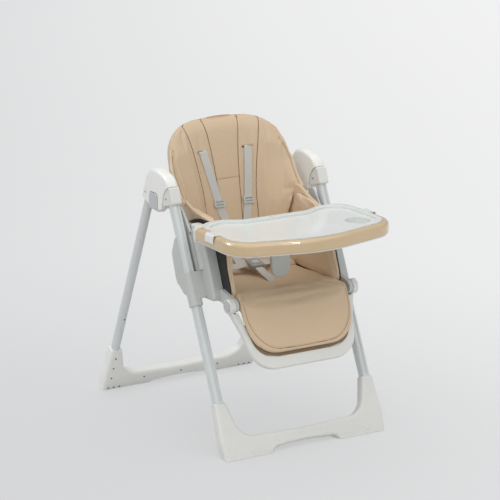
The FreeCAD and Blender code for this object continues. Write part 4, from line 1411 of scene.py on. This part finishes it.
@dataclass
class WingGusset:
    """Cover between a seat wing and the backrest: a padded hem that flares out to the back's wing,
    and a folded strip down to the hips.

    Each station of its length is (y, z of the hem, half width of the hem, depth of its skirt).
    """

    label: str
    thick: float = 0.0055
    foot: float = 0.1742
    stations: tuple[tuple[float, float, float, float], ...] = (
        (-0.137, 0.664, 0.188, 0.030), (-0.111, 0.667, 0.193, 0.036), (-0.062, 0.675, 0.199, 0.060),
        (-0.026, 0.684, 0.204, 0.100), (-0.002, 0.693, 0.206, 0.150), (0.018, 0.699, 0.204, 0.200),
        (0.040, 0.700, 0.200, 0.215),
    )

    def build(self) -> Piece:
        """Make the gusset.

        Point (i, j) of the grid is a closed section j at station i: up the inner face, over a
        rounded hem and down the outer face; the inner face bows out by a sine of its height.

        Returns:
            The gusset.
        """
        rows = smooth_path(self.stations, 0.004)
        turn = np.linspace(0, math.pi, 9)[None]
        drop = np.linspace(1, 0, 14)[None, :-1]
        y, z, half, skirt = (column[:, None] for column in rows.T)
        thick, foot = self.thick, self.foot
        inner_x = foot + (half - 2 * thick - foot) * (1 - drop) ** 1.6 - 0.003 * np.sin(math.pi * drop)
        inner_z = z - thick - drop * skirt
        hem_x = half - thick - thick * np.cos(turn)
        hem_z = z - thick + thick * np.sin(turn)
        outer_x = inner_x[:, ::-1] + 0.005 + (2 * thick - 0.005) * (1 - drop[:, ::-1])
        outer_z = inner_z[:, ::-1]
        x = np.concatenate([inner_x, hem_x, outer_x], axis=1)
        height = np.concatenate([inner_z, hem_z, outer_z], axis=1)
        along = np.broadcast_to(y + (z - height) * 0.12, x.shape)
        points = np.stack([SIDES[self.label] * x, along, height], axis=-1)
        faces = capped_faces(*x.shape, step=-1)
        piece = closed_piece("wing_gusset_" + self.label, points, faces, Look.LEATHER)
        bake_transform(piece)
        return piece


@dataclass
class HipRoll:
    """Soft fold of the cover where the seat turns up into the back."""

    half: float = 0.171
    stations: int = 60
    profile: tuple[tuple[float, float], ...] = (
        (-0.022, 0.4520), (-0.018, 0.4600), (0.000, 0.4628), (0.016, 0.4680), (0.027, 0.4790),
        (0.034, 0.4940), (0.042, 0.5080), (0.052, 0.5080), (0.060, 0.4850), (0.050, 0.4620),
        (0.028, 0.4480), (0.000, 0.4460),
    )

    def build(self) -> Piece:
        """Make the fold.

        A closed (y, z) section is carried across the chair; its height over the seat grows by 4 mm
        times the cube of the share of the half width, so that it rises into the wings.

        Returns:
            The fold.
        """
        section = np.array(self.profile)
        ring = smooth_path(np.concatenate([section, section[:1]]), 0.004)[:-1]
        across = np.linspace(-self.half, self.half, self.stations)[:, None]
        share = np.abs(across / self.half)
        shrink = 1 - 0.5 * np.clip((share - 0.985) / 0.015, 0, 1)
        centre = ring.mean(axis=0)
        y = centre[0] + (ring[None, :, 0] - centre[0]) * shrink
        ripple = 0.0006 * np.sin(across * 95.0) * np.clip((ring[None, :, 1] - 0.46) / 0.02, 0, 1)
        z = centre[1] + (ring[None, :, 1] - centre[1]) * shrink + 0.004 * share ** 3 + ripple
        points = np.stack([np.broadcast_to(across, y.shape), y, z], axis=-1)
        piece = closed_piece("hip_roll", points, capped_faces(*y.shape), Look.LEATHER)
        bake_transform(piece)
        return piece


@dataclass
class WingPiping:
    """Piping down a seat wing's front edge, lighter than the cover as painted highlight."""

    label: str
    line: tuple[tuple[float, float], ...] = (
        (-0.2010, 0.6160), (-0.1995, 0.6000), (-0.2030, 0.5700), (-0.2120, 0.5350), (-0.2280, 0.5000),
        (-0.2385, 0.4780), (-0.2395, 0.4660),
    )

    def build(self, wing: Piece) -> Piece:
        """Lay the piping on a finished wing.

        Args:
            wing: The wing.

        Returns:
            The piping.
        """
        low, high = np.array(wing.bound_box).min(axis=0), np.array(wing.bound_box).max(axis=0)
        inner = low[0] + 0.010 if SIDES[self.label] > 0 else high[0] - 0.010
        spots, normals = Surface(wing).lay(smooth_path([(inner, y, z) for y, z in self.line]), 0.0006)
        piece = swept("wing_piping_" + self.label, soften_rows(spots, 6), soften_rows(normals, 8),
                      ring_profile(0.0020), Look.HIGHLIT_WELT)
        return dress(piece, "seat_carriage", "leatherette")


@dataclass
class CalfShadeSheet:
    """Dark sheet of painted shade behind the calf pad, out to the frame's inner edge, where the gap between pad
    and frame lies in shade.
    """

    hinge: Leaning
    half: float = 0.1862
    low: float = -0.1715
    top: float = -0.030

    def build(self) -> Piece:
        """Make the sheet of painted shade.

        A grid of rings: each is the U-shaped outline, a superellipse of power 3.2, scaled by its
        share, out over the front sheet to the rim and back in over the rear sheet.

        Returns:
            The backing.
        """
        across, up = superellipse(96, 2 / 3.2)
        middle = (self.low + self.top) / 2
        outline_x = self.half * across
        outline_v = (self.top - middle) * up
        narrowing = 1 - 0.09 * np.clip(-outline_v / (self.top - middle), 0, 1)
        scale = np.array([0.02, 0.3, 0.6, 0.85, 0.97, 1.0, 1.0, 0.97, 0.85, 0.6, 0.3, 0.02])[:, None]
        depth = np.array([1.2, 1.2, 1.2, 1.4, 1.8, 2.6, 4.0, 4.8, 5.2, 5.4, 5.4, 5.4])[:, None] * MM
        x = scale * outline_x * narrowing
        v = middle + scale * outline_v
        points = np.stack([x, np.broadcast_to(depth, x.shape), v], axis=-1).reshape(-1, 3)
        piece = closed_piece("calf_painted_shade_sheet", self.hinge.to_chair(points), capped_faces(*x.shape),
                             Look.SHADE_SHEET)
        return dress(piece, "leg_rest", "leatherette")


# ------------------------------------------------------------------------------------ harness
@dataclass(frozen=True)
class Shoulder:
    """Places of one shoulder strap: its side, and its x at the adjuster and low on the back."""

    label: str
    adjuster_x: float
    low_x: float


@dataclass
class Harness:
    """Five-point harness of webbing laid on the finished cushions.

    slit is the x and the height of a strap's slit in the back, away from the chair's middle.
    """

    back: Leaning
    back_surface: Surface
    slit: tuple[float, float]
    width: float = 0.027
    crotch_width: float = 0.0275
    lap_width: float = 0.0255
    thickness: float = 0.0018
    adjuster_height: float = 0.204
    low_height: float = 0.122
    shoulders: tuple[Shoulder, ...] = (Shoulder("left", -0.043, -0.021), Shoulder("right", 0.059, 0.043))

    def _webbing(self, name: str, route: np.ndarray, outward: np.ndarray, width: float) -> Piece:
        """Strap of webbing along a route, on no body yet."""
        return swept(name, route, outward, band_profile(width, self.thickness), Look.WEBBING)

    def shoulder(self, place: Shoulder) -> Piece:
        """One shoulder strap, from inside its slit down to the buckle.

        Args:
            place: Where the strap lies.

        Returns:
            The strap, shaped over the recline hinge.
        """
        side, low = SIDES[place.label], place.low_x
        slit_x, slit_up = self.slit
        laid = smooth_path([(side * slit_x, 0, slit_up), (place.adjuster_x, 0, self.adjuster_height),
                            (low, 0, self.low_height), (low * 0.75, 0, 0.062)], 0.005)
        lift = self.thickness / 2 + 0.0016
        met = self.back_surface.drop(self.back.to_chair(laid), self.back.inward(), lift)
        local = self.back.from_chair(met)
        local[:3, 1] = local[3, 1]
        local[:, 1] = soften_rows(local[:, 1:2], 8)[:, 0]
        inside = np.array([[side * (slit_x + 0.002), 0.016, slit_up + 0.0030],
                           [side * (slit_x + 0.002), local[0, 1] + 0.003, slit_up + 0.0032],
                           [side * (slit_x + 0.001), local[0, 1] - 0.0016, slit_up + 0.0030]])
        on_back = self.back.to_chair(np.concatenate([inside, local]))
        tail = np.array([[low * 0.6, 0.012, 0.474], [low * 0.45, -0.010, 0.484], [low * 0.35, -0.026, 0.490]])
        route = smooth_path(np.concatenate([on_back[:3], on_back[3::4], on_back[-1:], tail]), 0.004)
        entering = np.clip((0.024 - lengths(route)) / 0.014, 0, 1)[:, None]
        outward = self.back.upward() * entering - self.back.inward() * (1 - entering)
        lying = np.clip((0.50 - route[:, 2]) / 0.03, 0, 1)[:, None]
        outward = outward * (1 - lying) + np.array([0, -0.2, 1.0]) * lying
        strap = self._webbing("shoulder_webbing_" + place.label, route, outward, self.width)
        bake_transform(strap)
        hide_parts("shoulder_strap_" + place.label)
        return strap

    def adjuster(self, place: Shoulder) -> Piece:
        """Slide buckle moved out onto the webbing: a copy of its solid with its edges rounded.

        Args:
            place: Where its strap lies.

        Returns:
            The slide buckle.
        """
        node = "strap_adjuster_" + place.label
        piece = add_piece(merged_copy("slide_buckle_" + place.label, [node]), Look.HARNESS, smooth=False)
        spot = self.back.to_chair([[place.adjuster_x, 0.0, self.adjuster_height]])
        met = self.back_surface.drop(spot, self.back.inward())
        forward = float(self.back.from_chair(met)[0, 1])
        write_points(piece, read_points(piece) + self.back.inward() * (forward - 0.0012))
        edge = piece.modifiers.new("worn_edges", "BEVEL")
        edge.width = 0.0007
        edge.segments = 2
        edge.limit_method = "ANGLE"
        settle_modifiers(piece)
        return dress(piece, "backrest", "grey_plastic", node)

    def crotch(self) -> Piece:
        """Crotch strap, from its slot in the seat back over the pad to the buckle.

        Returns:
            The strap.
        """
        low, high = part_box("crotch_strap")
        climb = ((0.001, 0.008), (0.001, 0.022), (0.004, 0.0285), (0.020, 0.033), (0.050, 0.0405))
        lie = [(0, low.y + y, low.z + z) for y, z in climb] + [(0, high.y - 0.001, high.z - 0.001)]
        route = smooth_path(lie, 0.003)
        outward = np.tile(np.array([0, -0.26, 0.97]), (len(route), 1))
        outward[:6] = (0, -1, 0.15)
        strap = self._webbing("crotch_webbing", route, soften_rows(outward, 12), self.crotch_width)
        return dress(strap, "seat_carriage", "webbing", "crotch_strap")

    def lap(self, label: str) -> Piece:
        """Lap strap, from the wing across the seat to the buckle, sagging between them.

        Args:
            label: The side that it comes from.

        Returns:
            The strap.
        """
        side = SIDES[label]
        low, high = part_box("lap_strap_" + label)
        middle = (low.y + high.y) / 2
        lie = [(side * 0.092, middle + 0.052, low.z - 0.012), (side * 0.085, middle + 0.036, low.z + 0.004),
               (side * 0.064, middle + 0.010, low.z + 0.012), (side * 0.040, middle - 0.004, low.z + 0.018),
               (side * 0.0205, middle - 0.008, high.z - 0.013)]
        route = smooth_path(lie, 0.004)
        outward = np.tile(np.array([0, -0.45, 0.9]), (len(route), 1))
        strap = self._webbing("lap_webbing_" + label, route, outward, self.lap_width)
        return dress(strap, "seat_carriage", "webbing", "lap_strap_" + label)

    def build(self) -> list[Piece]:
        """Make the whole harness."""
        made = [self.shoulder(place) for place in self.shoulders]
        made += [self.adjuster(place) for place in self.shoulders]
        return made + [self.crotch(), *(self.lap(label) for label in SIDES)]


# ------------------------------------------------------------------------------------ metalwork
@dataclass
class TubeDetails:
    """Rivets on the rear tubes and the faint collar line on the front tubes.

    A tube's axis is a straight line in the side plane, found from the two ends of its box: it rises
    from the foot end to the hub end at the tube's own x.
    """

    rivet_height: float = 0.266
    collar_height: float = 0.259

    def _axis(self, node: str, height: float) -> tuple[np.ndarray, np.ndarray, float]:
        """Find a tube's axis.

        Args:
            node: The tube.
            height: Height above the floor.

        Returns:
            The point on the axis at that height, the way up along it, and the tube's radius.
        """
        points = read_points(frame["nodes"][node])
        centre = (points[:, 0].min() + points[:, 0].max()) / 2
        radius = (points[:, 0].max() - points[:, 0].min()) / 2
        low = points[points[:, 2] < points[:, 2].min() + 0.012].mean(axis=0)
        high = points[points[:, 2] > points[:, 2].max() - 0.012].mean(axis=0)
        low[0] = high[0] = centre
        way = (high - low) / np.linalg.norm(high - low)
        return low + way * (height - low[2]) / way[2], way, radius

    def rivet(self, label: str) -> Piece:
        """Domed rivet head: a profile given as reach from the middle and rise off the tube, turned round.

        Args:
            label: The side of the tube.

        Returns:
            The rivet.
        """
        spot, way, radius = self._axis("rear_leg_" + label, self.rivet_height)
        out = np.array([-0.05 * SIDES[label], -1.0, 0.0])
        out -= way * (out @ way)
        out /= np.linalg.norm(out)
        beside = np.cross(way, out)
        turn = np.linspace(0, math.tau, 20, endpoint=False)
        reach = np.array([0.0002, 0.0012, 0.0022, 0.0028, 0.0030, 0.0030])
        rise = np.array([0.0011, 0.00105, 0.0008, 0.0004, 0.0, -0.0012])
        ring = np.cos(turn)[None, :, None] * way + np.sin(turn)[None, :, None] * beside
        points = spot + out * (radius + rise)[:, None, None] + ring * reach[:, None, None]
        faces = capped_faces(len(reach), len(turn))
        piece = closed_piece("tube_rivet_" + label, points, faces, Look.STEEL)
        return dress(piece, "rear_frame", "steel")

    def collar(self, label: str) -> Piece:
        """Collar line: a thin closed ring round the tube, r = R + 0.25 mm * cos of the ring's own angle.

        Args:
            label: The side of the tube.

        Returns:
            The collar.
        """
        spot, way, radius = self._axis("front_leg_" + label, self.collar_height)
        first = np.array([1.0, 0.0, 0.0])
        second = np.cross(way, first)
        turn = np.linspace(0, math.tau, 64, endpoint=False)[:, None, None]
        small = np.linspace(0, math.tau, 8, endpoint=False)[None, :, None]
        round_it = np.cos(turn) * first + np.sin(turn) * second
        points = spot + round_it * (radius + 0.00025 * np.cos(small)) + way * 0.0007 * np.sin(small)
        faces = grid_faces(64, 8, closed_rows=True, closed_columns=True).tolist()
        piece = closed_piece("tube_collar_" + label, points, faces, Look.TUBE)
        return dress(piece, "front_frame", "tube_paint")

    def build(self) -> None:
        """Make the details of all four tubes."""
        for label in SIDES:
            self.rivet(label)
            self.collar(label)


# ------------------------------------------------------------------------------------ studio
@dataclass
class Studio:
    """Floor, lamps and camera."""

    camera_place: tuple[float, float, float] = (-3.7432, -6.25875, 2.5001)
    right: tuple[float, float, float] = (0.8574, -0.5146, 0.0)
    up: tuple[float, float, float] = (0.1347, 0.2245, 0.9651)
    back: tuple[float, float, float] = (-0.4966, -0.8275, 0.2618)
    focal_mm: float = 179.32
    floor_half: float = 60.0
    glow: float = 0.66
    lamp_distance: float = 3.0

    def floor(self) -> None:
        """Pale studio floor with painted light: a little brighter away from the camera and to its right.

        What the camera and the gloss see of it is mixed with a glow, so that its shadows stay light.
        """
        half = self.floor_half
        points = np.array([(-half, -half, 0), (half, -half, 0), (half, half, 0), (-half, half, 0)])
        floor = add_piece(mesh_of("studio_floor", points, [[0, 1, 2, 3]]), Look.WHITE)
        graph = Graph("studio_floor")
        place = graph.place()
        x, y = graph.part_of(place, 0), graph.part_of(place, 1)
        forward = x * -self.right[1] + y * self.right[0]
        right = x * self.right[0] + y * self.right[1]
        # painted light: the floor's colour brightens away from the camera and to its right
        level = forward.band(-1.0, 2.2) * 0.30 + forward.band(2.0, 8.0) * 0.10 + right * 0.16 + 0.30
        colour = graph.blend(level.band(0.0, 1.0), srgb(209, 210, 211), srgb(242, 242, 242))
        rough = graph.noise(0.35, 2.0) * 0.1 + 0.6
        floor.data.materials.clear()
        material = graph.finish(Base_Color=colour, Roughness=rough, Specular_IOR_Level=0.2)
        rays = graph.node("ShaderNodeLightPath")
        seen = Value(graph, rays.outputs["Is Camera Ray"]).above(Value(graph, rays.outputs["Is Glossy Ray"]))
        seen = seen.above(Value(graph, rays.outputs["Is Transmission Ray"]))
        glow = graph.node("ShaderNodeEmission", inputs={"Color": colour, "Strength": 0.99})
        mixed = graph.node("ShaderNodeMixShader",
                           inputs={0: seen * self.glow, 1: graph.shader.outputs[0], 2: glow.outputs[0]})
        graph.link(mixed.outputs[0], graph.output.inputs[0])
        floor.data.materials.append(material)

    def sun(self, name: str, come_from: Sequence[float], strength: float, spread: float) -> None:
        """Wide, soft, even light from a direction.

        Args:
            name: Name of the lamp.
            come_from: Direction from the chair to the light.
            strength: Watts a square metre.
            spread: Width of the light as an angle in degrees.
        """
        data = bpy.data.lights.new(name, "SUN")
        data.energy = strength
        data.angle = math.radians(spread)
        lamp = bpy.data.objects.new(name, data)
        bpy.context.scene.collection.objects.link(lamp)
        lamp.rotation_euler = (-Vector(come_from)).to_track_quat("-Z", "Y").to_euler()

    def strip(self, name: str, centre: Sequence[float], first: Sequence[float], last: Sequence[float],
              width: float, power: float) -> None:
        """Long narrow box seen only in the gloss, so that rounded plastic edges catch a short bright line.

        Args:
            name: Name of the lamp.
            centre: The point that it faces.
            first: Direction from that point to one end of the box.
            last: Direction to the other end.
            width: Width of the box.
            power: Watts.
        """
        ends = [Vector(way).normalized() * self.lamp_distance for way in (first, last)]
        place = (ends[0] + ends[1]) / 2
        out = place.normalized()
        along = ends[1] - ends[0]
        data = bpy.data.lights.new(name, "AREA")
        data.shape = "RECTANGLE"
        data.size = width
        data.size_y = along.length
        data.energy = power
        along = (along - out * along.dot(out)).normalized()
        lamp = bpy.data.objects.new(name, data)
        bpy.context.scene.collection.objects.link(lamp)
        turn = Matrix((along.cross(out), along, out)).transposed().to_4x4()
        lamp.matrix_world = Matrix.Translation(Vector(centre) + place) @ turn
        lamp.visible_camera = False
        lamp.visible_diffuse = False

    def light(self) -> None:
        """Even surround, a broad key from above, a weak fill from the front, and strips for the gloss."""
        world = bpy.data.worlds.new("studio_air")
        bpy.context.scene.world = world
        world.use_nodes = True
        surround = world.node_tree.nodes["Background"]
        surround.inputs["Color"].default_value = (0.97, 0.98, 1.0, 1.0)
        surround.inputs["Strength"].default_value = 0.47
        self.sun("top", (-0.20, -0.05, 1.0), 1.62, 110.0)
        self.sun("front", (-0.25, -0.80, 0.60), 0.42, 80.0)
        self.strip("gloss_strip_front", centre=(-0.13, -0.435, 0.66), first=(0.25, -0.20, 0.95),
                   last=(0.09, -0.85, 0.53), width=0.07, power=10.0)
        self.strip("gloss_strip_left", centre=(-0.27, -0.355, 0.66), first=(-0.40, 0.55, 0.74),
                   last=(-0.82, 0.40, 0.42), width=0.40, power=60.0)

    def camera(self) -> None:
        """Long lens, looking slightly down from the front left."""
        data = bpy.data.cameras.new("studio_camera")
        data.sensor_width = 36.0
        data.lens = self.focal_mm
        data.clip_end = 100.0
        camera = bpy.data.objects.new("studio_camera", data)
        bpy.context.scene.collection.objects.link(camera)
        turn = Matrix((self.right, self.up, self.back)).transposed().to_4x4()
        camera.matrix_world = Matrix.Translation(self.camera_place) @ turn
        bpy.context.scene.camera = camera

    def build(self) -> None:
        """Set up the whole studio."""
        self.camera()
        self.light()
        self.floor()
        bpy.context.scene.view_settings.view_transform = "Standard"


def finish_rigid_parts() -> None:
    """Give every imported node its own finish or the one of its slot."""
    slots = {part["node"]: part["material_slot"] for part in frame["record"]["subparts"]}
    for name, node in frame["nodes"].items():
        look = OWN_LOOKS.get(name, SLOT_LOOKS[slots[name]])
        node.data.materials.clear()
        node.data.materials.append(look.material())
    log.info("rigid parts: %d nodes finished", len(frame["nodes"]))


def main() -> None:
    """Build everything in order."""
    logging.basicConfig(level=logging.INFO, format="%(name)s: %(message)s")
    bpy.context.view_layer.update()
    Studio().build()
    finish_rigid_parts()
    recline, rest = joint_place("recline"), joint_place("leg_rest_tilt")
    foot = Leaning(recline.y, recline.z, BACK_LEAN).to_chair([[0, -BACK_FORWARD, -BACK_BELOW]])[0]
    back = Leaning(float(foot[1]), float(foot[2]), BACK_LEAN)
    hinge = Leaning(rest.y, rest.z, REST_LEAN)
    cover = BackCushion(back)
    cushion, details = cover.build()
    for detail in details:
        dress(detail, "backrest", "leatherette")
    seat, seat_details = SeatCover(hinge).build()
    for detail in seat_details:
        dress(detail, "leg_rest", "leatherette")
    log.info("seat cover: %d faces", len(seat.data.polygons))
    CalfShadeSheet(hinge).build()
    HipRoll().build()
    for label in SIDES:
        WingPiping(label).build(WingCushion(label).build())
        WingGusset(label).build()
    for piece in Harness(back, Surface(cushion), (cover.slit_x, cover.slit_height)).build():
        log.info("harness: %s, %d faces", piece.name, len(piece.data.polygons))
    TubeDetails().build()


if __name__ == "__main__":
    main()
